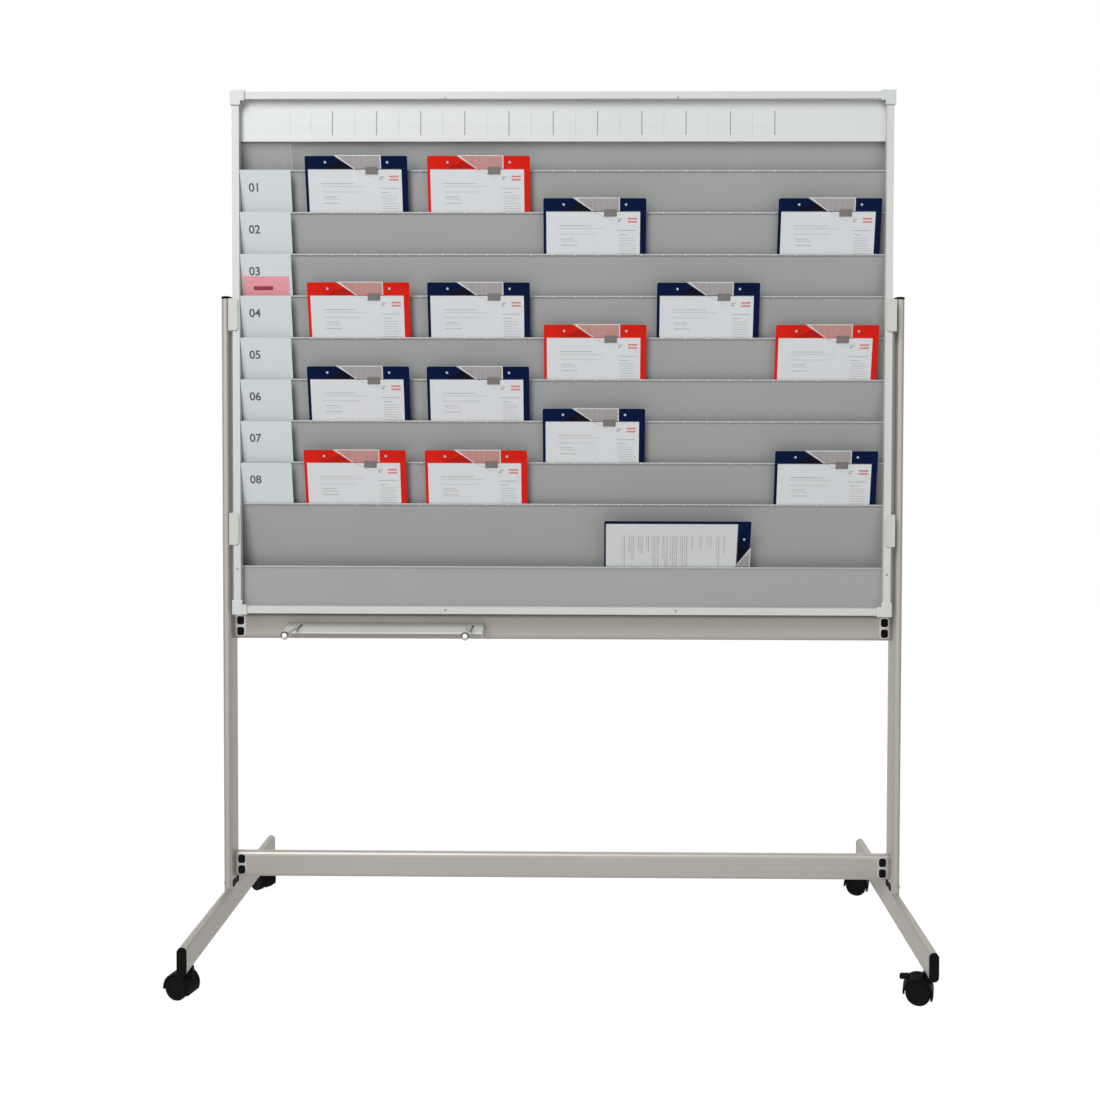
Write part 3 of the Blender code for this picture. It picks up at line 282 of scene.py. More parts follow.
def polish(finish, source, low, high):
    """Let a noise run the roughness between two values."""
    tree = finish.node_tree
    ends = {"From Min": NOISE_LOW, "From Max": NOISE_HIGH, "To Min": low, "To Max": high}
    spread = add_node(tree, "ShaderNodeMapRange", ends)
    tree.links.new(source, spread.inputs["Value"])
    tree.links.new(spread.outputs["Result"], tree.nodes["Principled BSDF"].inputs["Roughness"])


def relief(finish, source, strength, depth=SKIN_DEPTH):
    """Let a noise raise the surface a little."""
    tree = finish.node_tree
    bump = add_node(tree, "ShaderNodeBump", {"Strength": strength, "Distance": depth})
    tree.links.new(source, bump.inputs["Height"])
    tree.links.new(bump.outputs["Normal"], tree.nodes["Principled BSDF"].inputs["Normal"])


def shade(colour, amount):
    """A colour made darker or lighter."""
    return tuple(min(1.0, value * amount) for value in colour)


def cloud_over(finish, source, colour, darkest, lightest):
    """Let a noise run a colour between a darker and a lighter shade of itself."""
    tint(finish, source, shade(colour, darkest), shade(colour, lightest))


print("finish helpers ready")

# %% [markdown]
# ## Painted and moulded finishes
#
# Powder coat has a fine orange peel, so a small bump with a slow change in roughness is enough.
# Sheet steel in the pockets is satin, with faint marks from handling. Moulded plastic is a little
# coarser, and black plastic is never quite black.

# %% Make the painted and moulded finishes
PEEL_SCALE = 900.0
CLOUD_SCALE = 3.0
MOULD_SCALE = 25.0
SPARK_SCALE = 1400.0


def coated(name, colour, roughness, peel=0.10):
    """Powder coat or satin paint."""
    finish = plain_finish(name, colour, roughness)
    cloud = grain(finish, CLOUD_SCALE)
    cloud_over(finish, cloud, colour, darkest=0.965, lightest=1.02)
    polish(finish, cloud, low=roughness * 0.92, high=roughness * 1.1)
    relief(finish, grain(finish, PEEL_SCALE, detail=2.0), peel)
    return finish


def moulded(name, colour, roughness, texture=0.25, mirror=0.5):
    """Moulded plastic with a spark-eroded skin."""
    finish = plain_finish(name, colour, roughness, mirror=mirror)
    cloud = grain(finish, MOULD_SCALE)
    cloud_over(finish, cloud, colour, darkest=0.9, lightest=1.12)
    polish(finish, cloud, low=roughness * 0.9, high=roughness * 1.12)
    relief(finish, grain(finish, SPARK_SCALE, detail=2.0), texture)
    return finish


FRAME_PAINT = coated("frame_paint", (0.545, 0.560, 0.550), 0.42)
CLAMP_PAINT = coated("clamp_paint", (0.500, 0.520, 0.485), 0.42)
CORNER_PLASTIC = moulded("corner_plastic", (0.545, 0.572, 0.553), 0.48, 0.12)
HEADER_PAINT = coated("header_paint", (0.570, 0.589, 0.606), 0.38, 0.05)
POCKET_PAINT = coated("pocket_paint", (0.292, 0.301, 0.301), 0.46, 0.06)
# Same steel as the pockets, painted lighter as painted highlight on the folded edge.
BEAD_PAINTED_HIGHLIGHT = coated("bead_painted_highlight", (0.365, 0.378, 0.377), 0.46, 0.05)
PANEL_PAINT = coated("panel_paint", (0.330, 0.346, 0.348), 0.50, 0.06)
RAIL_PAINT = coated("rail_paint", (0.565, 0.585, 0.548), 0.42)
# Dark paint for the slabs beside the pegs: painted shade of their hollows.
HOLLOW_PAINTED_SHADE = coated("hollow_painted_shade", (0.165, 0.190, 0.172), 0.55)
BLACK_PLASTIC = moulded("black_plastic", (0.0060, 0.0060, 0.0062), 0.56, mirror=0.03)
WHEEL_PLASTIC = moulded("wheel_plastic", (0.0060, 0.0062, 0.0062), 0.50, 0.12, mirror=0.03)
TREAD_RUBBER = moulded("tread_rubber", (0.0066, 0.0066, 0.0066), 0.64, 0.3, mirror=0.03)
print("finishes so far", len(bpy.data.materials))

# %% [markdown]
# ## Metal finishes
#
# The stand is anodised aluminium. Its drawn lines run along each bar, so the noise is stretched
# along the bar's own direction: a post needs other lines than a foot. Chrome and zinc have a
# faint change in roughness from touching. Zinc is otherwise plain; the chrome's colour is a
# painted reflection, light where it faces the camera and dark at its turned-away rim.

# %% Make the metal finishes
DRAWN_SCALE = 260.0
DRAWN_STRETCH = 0.004
ALUMINIUM = (0.394, 0.373, 0.342)
TOUCH_SCALE = 60.0
# The chrome's two colours are a painted reflection: light facing the camera, dark at the rim.
CHROME_COLOUR = (0.74, 0.75, 0.77)
CHROME_PAINTED_GLARE = (0.80, 0.80, 0.80)
CHROME_PAINTED_DARK_RIM = (0.035, 0.033, 0.032)
CHROME_REFLECTION_BLEND = 0.80


def anodised(name, axis):
    """Satin anodised aluminium with lines along one axis."""
    finish = plain_finish(name, ALUMINIUM, roughness=0.42, metallic=0.35)
    stretch = [1.0, 1.0, 1.0]
    stretch[axis] = DRAWN_STRETCH
    lines = grain(finish, DRAWN_SCALE, stretch, detail=3.0)
    cloud_over(finish, lines, ALUMINIUM, darkest=0.95, lightest=1.04)
    polish(finish, lines, low=0.38, high=0.50)
    relief(finish, lines, strength=0.05)
    return finish


def bright_metal(name, colour, roughness):
    """Zinc or aluminium with faint touch marks."""
    finish = plain_finish(name, colour, roughness, metallic=1.0)
    polish(finish, grain(finish, TOUCH_SCALE), low=roughness * 0.7, high=roughness * 1.5)
    return finish


def chrome_with_painted_reflection(name):
    """Chrome whose colour is a painted reflection: light where it faces the camera, dark where its skin
    turns away, as a ball in a bright room looks.
    """
    finish = bright_metal(name, CHROME_COLOUR, roughness=0.07)
    rim = add_node(finish.node_tree, "ShaderNodeLayerWeight", {"Blend": CHROME_REFLECTION_BLEND})
    tint(finish, rim.outputs["Facing"], CHROME_PAINTED_GLARE, CHROME_PAINTED_DARK_RIM)
    return finish


ALONG_X = anodised("anodised_along_x", 0)
ALONG_Y = anodised("anodised_along_y", 1)
ALONG_Z = anodised("anodised_along_z", 2)
CHROME = chrome_with_painted_reflection("chrome")
ZINC = bright_metal("zinc", (0.30, 0.30, 0.29), 0.38)
PLATE_METAL = bright_metal("plate_metal", (0.47, 0.47, 0.455), 0.46)
print("finishes so far", len(bpy.data.materials))

# %% [markdown]
# ## Paper, card and film
#
# The folders' covers are coloured film with a soft gloss, their fronts are clear. Clear film is
# made with the shader's alpha: it lets most light through and still shows a highlight.

# %% Make the paper, card and film finishes
FIBRE_SCALE = 420.0
FIBRE_STRETCH = (1.0, 1.0, 0.35)
COVER_SCALE = 14.0
EMBOSS_SCALE = 700.0
STREAK_SCALE = 150.0
STREAK_STRETCH = (1.0, 1.0, 0.03)
WAVE_SCALE = 9.0
WAVE_DEPTH = 0.001


def paper(name, colour, roughness=0.7):
    """Paper or card with fine fibres."""
    finish = plain_finish(name, colour, roughness)
    fibres = grain(finish, FIBRE_SCALE, FIBRE_STRETCH)
    cloud_over(finish, fibres, colour, darkest=0.975, lightest=1.01)
    relief(finish, fibres, strength=0.06)
    return finish


def cover_film(name, colour):
    """Coloured film cover with an embossed skin."""
    finish = plain_finish(name, colour, roughness=0.40, mirror=0.02)
    cloud = grain(finish, COVER_SCALE)
    cloud_over(finish, cloud, colour, darkest=0.9, lightest=1.12)
    polish(finish, cloud, low=0.28, high=0.42)
    relief(finish, grain(finish, EMBOSS_SCALE, detail=2.0), strength=0.12)
    return finish


def clear(name, colour, alpha, roughness):
    """Clear film that keeps its highlights, with faint streaks along its height."""
    finish = plain_finish(name, colour, roughness)
    shader = finish.node_tree.nodes["Principled BSDF"]
    shader.inputs["Alpha"].default_value = alpha
    streaks = grain(finish, STREAK_SCALE, STREAK_STRETCH)
    cloud_over(finish, streaks, colour, darkest=0.93, lightest=1.07)
    relief(finish, grain(finish, WAVE_SCALE), strength=0.25, depth=WAVE_DEPTH)
    return finish


WHITE_PAPER = paper("white_paper", (0.650, 0.675, 0.705))
CARD = paper("name_card", (0.540, 0.600, 0.620), 0.55)
PINK_CARD = paper("pink_card", (0.670, 0.270, 0.312), 0.55)
PRINT_GREY = paper("print_grey", (0.270, 0.275, 0.280))
PRINT_FAINT = paper("print_faint", (0.410, 0.420, 0.428))
PRINT_PALE = paper("print_pale", (0.505, 0.520, 0.530))
PRINT_DARK = paper("print_dark", (0.075, 0.078, 0.085))
PRINT_RED = paper("print_red", (0.620, 0.170, 0.150))
PRINT_MAROON = paper("print_maroon", (0.240, 0.020, 0.040))
TICK_WHITE = paper("tick_white", (0.560, 0.580, 0.580))
EYELET_WHITE = paper("eyelet_white", (0.420, 0.450, 0.520))
BLUE_COVER = cover_film("blue_cover", (0.0032, 0.0088, 0.0405))
RED_COVER = cover_film("red_cover", (0.590, 0.016, 0.009))
# Darker copies of the cover colours, for the wedge beside the notch: painted shadow.
BLUE_PAINTED_SHADOW = cover_film("blue_painted_shadow", (0.0060, 0.0055, 0.0120))
RED_PAINTED_SHADOW = cover_film("red_painted_shadow", (0.3800, 0.0130, 0.0090))
CLEAR_FILM = clear("clear_film", (0.60, 0.61, 0.62), 0.07, 0.24)
NOTCH_BLUE = clear("notch_by_blue", (0.385, 0.366, 0.366), 0.62, 0.26)
NOTCH_RED = clear("notch_by_red", (0.560, 0.270, 0.250), 0.62, 0.26)
# Brighter films for edges, folds, creases and welds: painted highlight.
FILM_EDGE_HIGHLIGHT = clear("film_edge_highlight", (0.72, 0.73, 0.73), 0.72, 0.32)
FILM_LINE_HIGHLIGHT = clear("film_line_highlight", (0.52, 0.53, 0.53), 0.26, 0.32)
CLIP_GREY = moulded("clip_grey", (0.155, 0.141, 0.134), 0.44, 0.15, mirror=0.3)
print("finishes so far", len(bpy.data.materials))

# %% [markdown]
# ## Painting the solids
#
# A solid whose shape is right stays as it is and only gets its finish. A table of name parts and
# finishes says which: the first part that fits a solid's name wins.

# %% Paint the solids
PAINT_BY_NAME = (
    ("_corner", CORNER_PLASTIC),
    ("frame_", FRAME_PAINT),
    ("_clamp", CLAMP_PAINT),
    ("header", HEADER_PAINT),
    ("pocket_sheet", POCKET_PAINT),
    ("back_panel", PANEL_PAINT),
    ("pad_rail", RAIL_PAINT),
    ("caster_wheels", WHEEL_PLASTIC),
    ("caster_housing", BLACK_PLASTIC),
    ("brake_pedal", BLACK_PLASTIC),
    ("_cap", BLACK_PLASTIC),
    ("crossbar", ALONG_X),
    ("_foot", ALONG_Y),
    ("_post", ALONG_Z),
    ("blue", BLUE_COVER),
    ("red", RED_COVER),
)


def paint(solid, finish):
    """Give a solid one finish."""
    if solid.material_slots:
        solid.material_slots[0].material = finish
    else:
        solid.data.materials.append(finish)


for solid_name, solid in frame["nodes"].items():
    finish = next(finish for part, finish in PAINT_BY_NAME if part in solid_name)
    paint(solid, finish)
print("painted", len(frame["nodes"]))

# %% [markdown]
# ## A kit for shapes
#
# Most small things here are flat outlines pushed out along an axis. A bmesh collects several such
# slabs, each with its own finish, and one call turns it into a piece and puts it on its body.

# %% Helpers for shapes
SOFT_EDGE = 38.0
ROUND_EDGE = 50.0
TO_FRONT = Matrix.Rotation(math.pi / 2, 4, "X")
TO_BACK = Matrix.Rotation(-math.pi / 2, 4, "X")


def point_on(axis, flat, level):
    """A flat point at a level along an axis."""
    first, second = flat
    if axis == "X":
        return Vector((level, first, second))
    if axis == "Y":
        return Vector((first, level, second))
    return Vector((first, second, level))


def slab(bm, outline, axis, low, high, finish_index=0):
    """Push a closed outline out between two levels."""
    lower = [bm.verts.new(point_on(axis, point, low)) for point in outline]
    upper = [bm.verts.new(point_on(axis, point, high)) for point in outline]
    faces = [bm.faces.new(lower), bm.faces.new(upper)]
    for i in range(len(outline)):
        after = (i + 1) % len(outline)
        faces.append(bm.faces.new((lower[i], lower[after], upper[after], upper[i])))
    for face in faces:
        face.material_index = finish_index


def rectangle(left, bottom, right, top):
    """Four corners."""
    return [(left, bottom), (right, bottom), (right, top), (left, top)]


def arc(centre, radius, start, end, steps):
    """Points on a circle."""
    return [
        (
            centre[0] + radius * math.cos(start + (end - start) * i / steps),
            centre[1] + radius * math.sin(start + (end - start) * i / steps),
        )
        for i in range(steps + 1)
    ]


def rounded(left, bottom, right, top, radius, steps=5):
    """A rectangle with round corners."""
    quarter = math.pi / 2
    points = arc((right - radius, top - radius), radius, 0.0, quarter, steps)
    points += arc((left + radius, top - radius), radius, quarter, 2 * quarter, steps)
    points += arc((left + radius, bottom + radius), radius, 2 * quarter, 3 * quarter, steps)
    points += arc((right - radius, bottom + radius), radius, 3 * quarter, 4 * quarter, steps)
    return points


def turned(bm, profile, steps, matrix, finish_index=0):
    """Turn a profile of (radius, height) about its own axis and put it in place."""
    rings = []
    for radius, height in profile:
        if radius == 0.0:
            rings.append([bm.verts.new(matrix @ Vector((0.0, 0.0, height)))])
        else:
            ring = arc((0.0, 0.0), radius, 0.0, math.tau, steps)[:-1]
            rings.append([bm.verts.new(matrix @ Vector((x, y, height))) for x, y in ring])
    for first, second in zip(rings, rings[1:]):
        for i in range(steps):
            after = (i + 1) % steps
            corners = [first[i % len(first)], first[after % len(first)]]
            corners += [second[after % len(second)], second[i % len(second)]]
            face = bm.faces.new(list(dict.fromkeys(corners)))
            face.material_index = finish_index


def mesh_of(name, bm, finishes):
    """Close a bmesh into a mesh with its finishes."""
    bmesh.ops.recalc_face_normals(bm, faces=bm.faces[:])
    mesh = bpy.data.meshes.new(name)
    bm.to_mesh(mesh)
    bm.free()
    for finish in finishes:
        mesh.materials.append(finish)
    return mesh


def smooth(mesh, degrees):
    """Shade a mesh smoothly, except over edges sharper than an angle."""
    mesh.shade_smooth()
    mesh.set_sharp_from_angle(angle=math.radians(degrees))


def piece(name, bm, finishes, body, soften=0.0, place=None):
    """Turn a bmesh into a dressed piece on its body."""
    return put(name, mesh_of(name, bm, finishes), body, soften, place)


def put(name, mesh, body, soften=0.0, place=None):
    """Put a mesh into the scene as a piece of a body."""
    shape = bpy.data.objects.new(name, mesh)
    bpy.context.scene.collection.objects.link(shape)
    if place is not None:
        shape.matrix_world = place
    if soften:
        smooth(mesh, SOFT_EDGE)
        edge = shape.modifiers.new("soft_edges", "BEVEL")
        edge.width = soften
        edge.segments = 2
        edge.limit_method = "ANGLE"
        edge.harden_normals = True
    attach(shape, body)
    return shape


print("shape helpers ready")

# %% [markdown]
# ## The header strip
#
# The white strip across the top of the real board carries a printed scale: strong lines for the
# days, faint ones between them, and a faint level line. Ink could be painted by a texture, but
# very thin slabs export as real shapes and stay sharp from close by.

# %% Print the header's scale
INK = 0.00012
DAY_COUNT = 11
DAY_FIRST = -0.517
DAY_STEP = 0.0994
DAY_WIDTH = 0.0023
HALF_WIDTH = 0.0009
DAY_RISE = (0.0140, 0.0680)
HALF_RISE = (0.0145, 0.0640)
LEVEL_RISE = 0.0300
LEVEL_HEIGHT = 0.0008
SCALE_LEFT = -0.613

header_low, header_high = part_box("header_strip")


def header_line(bm, left, width, rises, finish_index):
    """One upright printed line."""
    outline = rectangle(left, header_low.z + rises[0], left + width, header_low.z + rises[1])
    slab(bm, outline, "Y", header_low.y - INK, header_low.y, finish_index)


bm = bmesh.new()
for day in range(DAY_COUNT):
    x = MIDDLE_X + DAY_FIRST + day * DAY_STEP
    header_line(bm, x - DAY_WIDTH / 2, DAY_WIDTH, DAY_RISE, 0)
    header_line(bm, x - DAY_STEP / 2 - HALF_WIDTH / 2, HALF_WIDTH, HALF_RISE, 1)
left = MIDDLE_X + SCALE_LEFT
right = MIDDLE_X + DAY_FIRST + (DAY_COUNT - 1) * DAY_STEP
header_line(bm, left, HALF_WIDTH, HALF_RISE, 1)
level = header_low.z + LEVEL_RISE
outline = rectangle(left, level, right, level + LEVEL_HEIGHT)
slab(bm, outline, "Y", header_low.y - INK / 2, header_low.y, 2)
piece("header_scale", bm, (PRINT_GREY, PRINT_FAINT, PRINT_PALE), "stand")
print("header scale", DAY_COUNT, "days")

# %% [markdown]
# ## The pockets' edges
#
# Each sheet's top edge is folded over, and the fold catches the light as a pale bead with white
# marks every fifty millimetres. The solid holds the fold as a flat step; here a half-round bead
# lies on it, and the marks lie on the bead. The bead's paint is lighter than the sheet's, though
# the steel is the same: a painted highlight.

# %% Make the beads and marks
BEAD_HEIGHT = 0.0036
BEAD_DEPTH = 0.0010
BEAD_STEPS = 8
BEAD_END = 0.001
MARK_STEP = 0.0497
MARK_WIDTH = 0.0018
MARK_HEIGHT = 0.0046
MARK_FIRST = -0.5667
MARK_LAST = 0.62
POCKETS = sorted(name for name in frame["nodes"] if name.startswith("pocket_sheet"))


def bead_outline(edge_y, edge_z):
    """Half-round section in (Y, Z), flat against the fold."""
    half = BEAD_HEIGHT / 2
    points = []
    for i in range(BEAD_STEPS + 1):
        angle = math.pi * i / BEAD_STEPS
        points.append((edge_y - BEAD_DEPTH * math.sin(angle), edge_z - half + half * math.cos(angle)))
    return points


for number, sheet in enumerate(POCKETS):
    sheet_low, sheet_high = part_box(sheet)
    bm = bmesh.new()
    outline = bead_outline(sheet_low.y, sheet_high.z)
    slab(bm, outline, "X", sheet_low.x + BEAD_END, sheet_high.x - BEAD_END)
    x = MIDDLE_X + MARK_FIRST
    while x < MIDDLE_X + MARK_LAST and number < len(POCKETS) - 1:
        mark_low = sheet_high.z - MARK_HEIGHT
        outline = rectangle(x - MARK_WIDTH / 2, mark_low, x + MARK_WIDTH / 2, sheet_high.z)
        slab(bm, outline, "Y", sheet_low.y - BEAD_DEPTH - INK, sheet_low.y, 1)
        x += MARK_STEP
    piece(f"pocket_bead_{number:02d}", bm, (BEAD_PAINTED_HIGHLIGHT, TICK_WHITE), "stand")
print("beads", len(POCKETS))

# %% [markdown]
# ## The top sheet
#
# The grey band under the header is lit like the other sheets, so one more sheet leans there, with
# its own edge hidden behind the header. It starts just behind the header's lip, leans back at the
# pockets' angle to the panel, and ends in a short flange that lies on the panel.

# %% Bend the top sheet
SLIDES = [joint for joint in frame["joints"] if joint["type"] == "slide"]
PULLS = {joint["child"]: Vector(joint["axis"]).normalized() for joint in SLIDES}
FOLDERS = sorted(body for body in PULLS if body.startswith("folder"))
LEAN = math.atan2(-PULLS[FOLDERS[0]].y, PULLS[FOLDERS[0]].z)
SHEET_SKIN = 0.001
LIP_CLEARANCE = 0.0005
HIDDEN_RISE = 0.020
FLANGE = 0.012

sheet_low, sheet_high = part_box(POCKETS[0])
panel_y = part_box("back_panel")[0].y
lip_y = header_high.y + LIP_CLEARANCE
bend_drop = (panel_y - SHEET_SKIN - lip_y) / math.tan(LEAN)
top_y = lip_y - HIDDEN_RISE * math.tan(LEAN)
faces = [
    (top_y, header_low.z + HIDDEN_RISE),
    (panel_y - SHEET_SKIN, header_low.z - bend_drop),
    (panel_y - SHEET_SKIN, header_low.z - bend_drop - FLANGE),
]
section = faces + [(y + SHEET_SKIN, z) for y, z in reversed(faces)]
bm = bmesh.new()
slab(bm, section, "X", sheet_low.x, sheet_high.x)
piece("top_sheet", bm, (POCKET_PAINT,), "stand")
print("top sheet bends", round(bend_drop, 3), "below the header")

# %% [markdown]
# ## Name cards
#
# Eight cards stand at the left, one in front of each sheet, and a pink tag hides the foot of the
# third. Each card leans like the pocket that holds it, which is the way that the folders pull out,
# and carries a plain number.

# %% Make the name cards
CARD_LEFT = 0.0168
CARD_WIDTH = 0.1145
CARD_COUNT = 8
CARD_THICKNESS = 0.0006
CARD_GAP = 0.0015
CARD_HIDDEN = 0.012
CARD_TOP_GAP = 0.003
CARD_SETBACK = 0.0022
CARD_CORNER = 0.002
DIGIT_HEIGHT = 0.0262
DIGIT_LEFT = 0.0185
DIGIT_RISE_SHARE = 0.49
DIGIT_BOLD = 0.00045


def leaning(x, edge):
    """A frame in a pocket: X to the right, Z up along the lean, Y to the back."""
    sheet_low, sheet_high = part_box(edge)
    foot = Matrix.Translation((x, sheet_low.y + CARD_SETBACK, sheet_high.z))
    return foot @ Matrix.Rotation(LEAN, 4, "X")


def digits(text, height, left, bottom, front):
    """A number as a thin slab, from Blender's own font."""
    curve = bpy.data.curves.new("digits", "FONT")
    curve.body = text
    curve.size = height
    curve.offset = DIGIT_BOLD
    curve.extrude = INK
    holder = bpy.data.objects.new("digits", curve)
    bpy.context.scene.collection.objects.link(holder)
    bpy.context.view_layer.update()
    mesh = bpy.data.meshes.new_from_object(holder.evaluated_get(bpy.context.evaluated_depsgraph_get()))
    bpy.data.objects.remove(holder)
    bpy.data.curves.remove(curve)
    mesh.transform(Matrix.Translation((left, front, bottom)) @ TO_FRONT)
    return mesh


for number in range(CARD_COUNT):
    sheet = POCKETS[number + 1]
    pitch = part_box(POCKETS[number])[1].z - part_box(sheet)[1].z
    top = pitch / math.cos(LEAN) - CARD_TOP_GAP
    bm = bmesh.new()
    outline = rounded(0.0, -CARD_HIDDEN, CARD_WIDTH, top, CARD_CORNER)
    slab(bm, outline, "Y", CARD_GAP, CARD_GAP + CARD_THICKNESS)
    rise = top * DIGIT_RISE_SHARE
    figure = digits(f"{number + 1:02d}", DIGIT_HEIGHT, DIGIT_LEFT, rise, CARD_GAP - INK)
    start = len(bm.faces)
    bm.from_mesh(figure)
    bm.faces.ensure_lookup_table()
    for face in bm.faces[start:]:
        face.material_index = 1
    bpy.data.meshes.remove(figure)
    place = leaning(BOARD_LOW.x + CARD_LEFT, sheet)
    piece(f"name_card_{number + 1}", bm, (CARD, PRINT_DARK), "stand", place=place)
print("cards", CARD_COUNT)

# %% Make the pink tag
TAG_WIDTH = 0.102
TAG_HEIGHT = 0.043
TAG_LEFT = 0.0218
TAG_BAR = (0.022, 0.012, 0.066, 0.021)
TAG_GAP = 0.0004
TAG_CORNER = 0.0015

bm = bmesh.new()
outline = rounded(0.0, -CARD_HIDDEN, TAG_WIDTH, TAG_HEIGHT, TAG_CORNER)
slab(bm, outline, "Y", TAG_GAP, TAG_GAP + CARD_THICKNESS)
slab(bm, rounded(*TAG_BAR, CARD_CORNER), "Y", TAG_GAP - INK, TAG_GAP, 1)
place = leaning(BOARD_LOW.x + TAG_LEFT, POCKETS[3])
piece("pink_tag", bm, (PINK_CARD, PRINT_MAROON), "stand", place=place)
print("tag", TAG_WIDTH)

# %% [markdown]
# The highest pocket holds a card sleeve of clear film with no card in it. It is hardly more than
# its welds: three lines of painted highlight on a sheet of film that lets the grey pocket show through.

# %% Make the empty sleeve in the first pocket
SLEEVE_SIZE = (0.1145, 0.058)
SLEEVE_WELD = 0.0012
SLEEVE_WELDS = (0.0, 0.094, 0.1133)

bm = bmesh.new()
slab(bm, rectangle(0.0, -CARD_HIDDEN, *SLEEVE_SIZE), "Y", CARD_GAP, CARD_GAP + CARD_THICKNESS)
# The welds are strips of painted highlight.
for left in SLEEVE_WELDS:
    weld = rectangle(left, -CARD_HIDDEN, left + SLEEVE_WELD, SLEEVE_SIZE[1])
    slab(bm, weld, "Y", CARD_GAP - INK, CARD_GAP, 1)
place = leaning(BOARD_LOW.x + CARD_LEFT, POCKETS[0])
piece("empty_sleeve", bm, (CLEAR_FILM, FILM_LINE_HIGHLIGHT), "stand", place=place)
print("sleeve", SLEEVE_SIZE)

# %% [markdown]
# ## Job folders
#
# A folder is a coloured back cover with a notch at its top, a clear front that covers the notch,
# a sheet of printed paper between them, a grey clip and two eyelets. Fifteen stand upright and
# one lies on its long side. Its parts are modelled once, in the folder's own frame, and each
# folder shares those meshes.

# %% Model the cover
FOLDER_HEIGHT = 0.328
COVER = 0.0011
BAND = 0.028
NOTCH_SHARES = (0.285, 0.474, 0.743)
COVER_CORNER = 0.004
RIM_WIDTH = 0.0020
RIM_INSET = 0.0006
RIM_STAND = 0.0003
# Corners of the painted shadow beside the notch, as shares of the width and of the band's height.
FOLD_PAINTED_SHADOW = ((0.185, -1.0), (0.330, -0.44), (0.358, -0.42), (0.468, -1.0))


def notch(width):
    """Places across a folder: notch left at the top, left at its foot, and right."""
    return [share * width for share in NOTCH_SHARES]


def cover_outline(width):
    """The back cover with its notch."""
    quarter = math.pi / 2
    top = FOLDER_HEIGHT
    radius = COVER_CORNER
    left, low, right = notch(width)
    points = arc((radius, radius), radius, 2 * quarter, 3 * quarter, 4)
    points += arc((width - radius, radius), radius, 3 * quarter, 4 * quarter, 4)
    points += arc((width - radius, top - radius), radius, 0.0, quarter, 4)
    points += [(right, top), (right, top - BAND), (low, top - BAND), (left, top)]
    points += arc((radius, top - radius), radius, quarter, 2 * quarter, 4)
    return points


def make_cover_mesh(name, width, finish, shadow_finish):
    """Cover with a welded rim at each side, and a painted shadow of the fold beside the notch."""
    bm = bmesh.new()
    slab(bm, cover_outline(width), "Y", -COVER, 0.0)
    top = FOLDER_HEIGHT - BAND
    for left in (RIM_INSET, width - RIM_INSET - RIM_WIDTH):
        slab(bm, rectangle(left, RIM_INSET, left + RIM_WIDTH, top), "Y", -COVER - RIM_STAND, -COVER)
    # The dark wedge beside the notch is painted shadow of the cover's crease.
    fold = [(share * width, FOLDER_HEIGHT + drop * BAND) for share, drop in FOLD_PAINTED_SHADOW]
    slab(bm, fold, "Y", -COVER - INK, -COVER, 1)
    return mesh_of(name, bm, (finish, shadow_finish))


print("folder height", FOLDER_HEIGHT, "notch at shares", NOTCH_SHARES)

# %% [markdown]
# The sheet in each folder is a printed form. From the camera its words are only grey dashes, so
# each line is a row of short thin slabs with gaps, in a fixed random order. That reads as text
# from afar and says nothing from close by. The marks at the upper right are plain bars.

# %% Print the sheets
import random

PAPER_LEFT = 0.0065
PAPER_WIDTH = 0.210
PAPER_DROP = 0.0298
PAPER_BOTTOM = 0.004
PAPER_THICKNESS = 0.0003
PAPER_FRONT = COVER + 0.0004
LINE = 0.0015
WORD_LENGTHS = (0.0025, 0.0095)
WORD_GAP = 0.0014
chance = random.Random(7)


def sheet_of_paper():
    """A blank sheet on the cover."""
    bm = bmesh.new()
    outline = rectangle(PAPER_LEFT, PAPER_BOTTOM, PAPER_LEFT + PAPER_WIDTH, FOLDER_HEIGHT - PAPER_DROP)
    slab(bm, outline, "Y", -PAPER_FRONT, -PAPER_FRONT + PAPER_THICKNESS)
    return bm


def add_bar(bm, left, right, drop, finish_index, height=LINE):
    """One printed bar, measured from the paper's upper left corner."""
    top = FOLDER_HEIGHT - PAPER_DROP - drop
    outline = rectangle(PAPER_LEFT + left, top - height, PAPER_LEFT + right, top)
    slab(bm, outline, "Y", -PAPER_FRONT - INK, -PAPER_FRONT, finish_index)


def add_words(bm, left, right, drop, finish_index):
    """A printed line as short dashes with gaps."""
    while left < right:
        end = min(right, left + chance.uniform(*WORD_LENGTHS))
        add_bar(bm, left, end, drop, finish_index)
        left = end + WORD_GAP


print("words of", WORD_LENGTHS, "metres")

# %% [markdown]
# Each entry below is one printed line: where it starts, where it ends and how far down it is, in
# metres from the paper's upper left corner, and its ink. The ends of the column and the table
# vary a little, as words do.

# %% Lay out the form
FORM_LINES = (
    (0.029, 0.103, 0.0300, 1),
    (0.029, 0.126, 0.0360, 2),
    (0.029, 0.111, 0.0480, 2),
    (0.033, 0.061, 0.0590, 1),
    (0.035, 0.068, 0.0640, 2),
    (0.033, 0.068, 0.0730, 1),
    (0.160, 0.200, 0.0400, 1),
    (0.164, 0.182, 0.0495, 1),
)
FORM_BARS = (
    (0.160, 0.171, 0.0145, 2, 0.0030),
    (0.160, 0.166, 0.0190, 1, 0.0030),
    (0.182, 0.203, 0.0130, 3, 0.0040),
    (0.182, 0.203, 0.0200, 3, 0.0040),
)
COLUMN = (0.164, 0.203, 0.0570, 9, 0.0056)
TABLE = (0.029, 0.192, 0.1150, 11, 0.0135)
RAGGED = 0.3

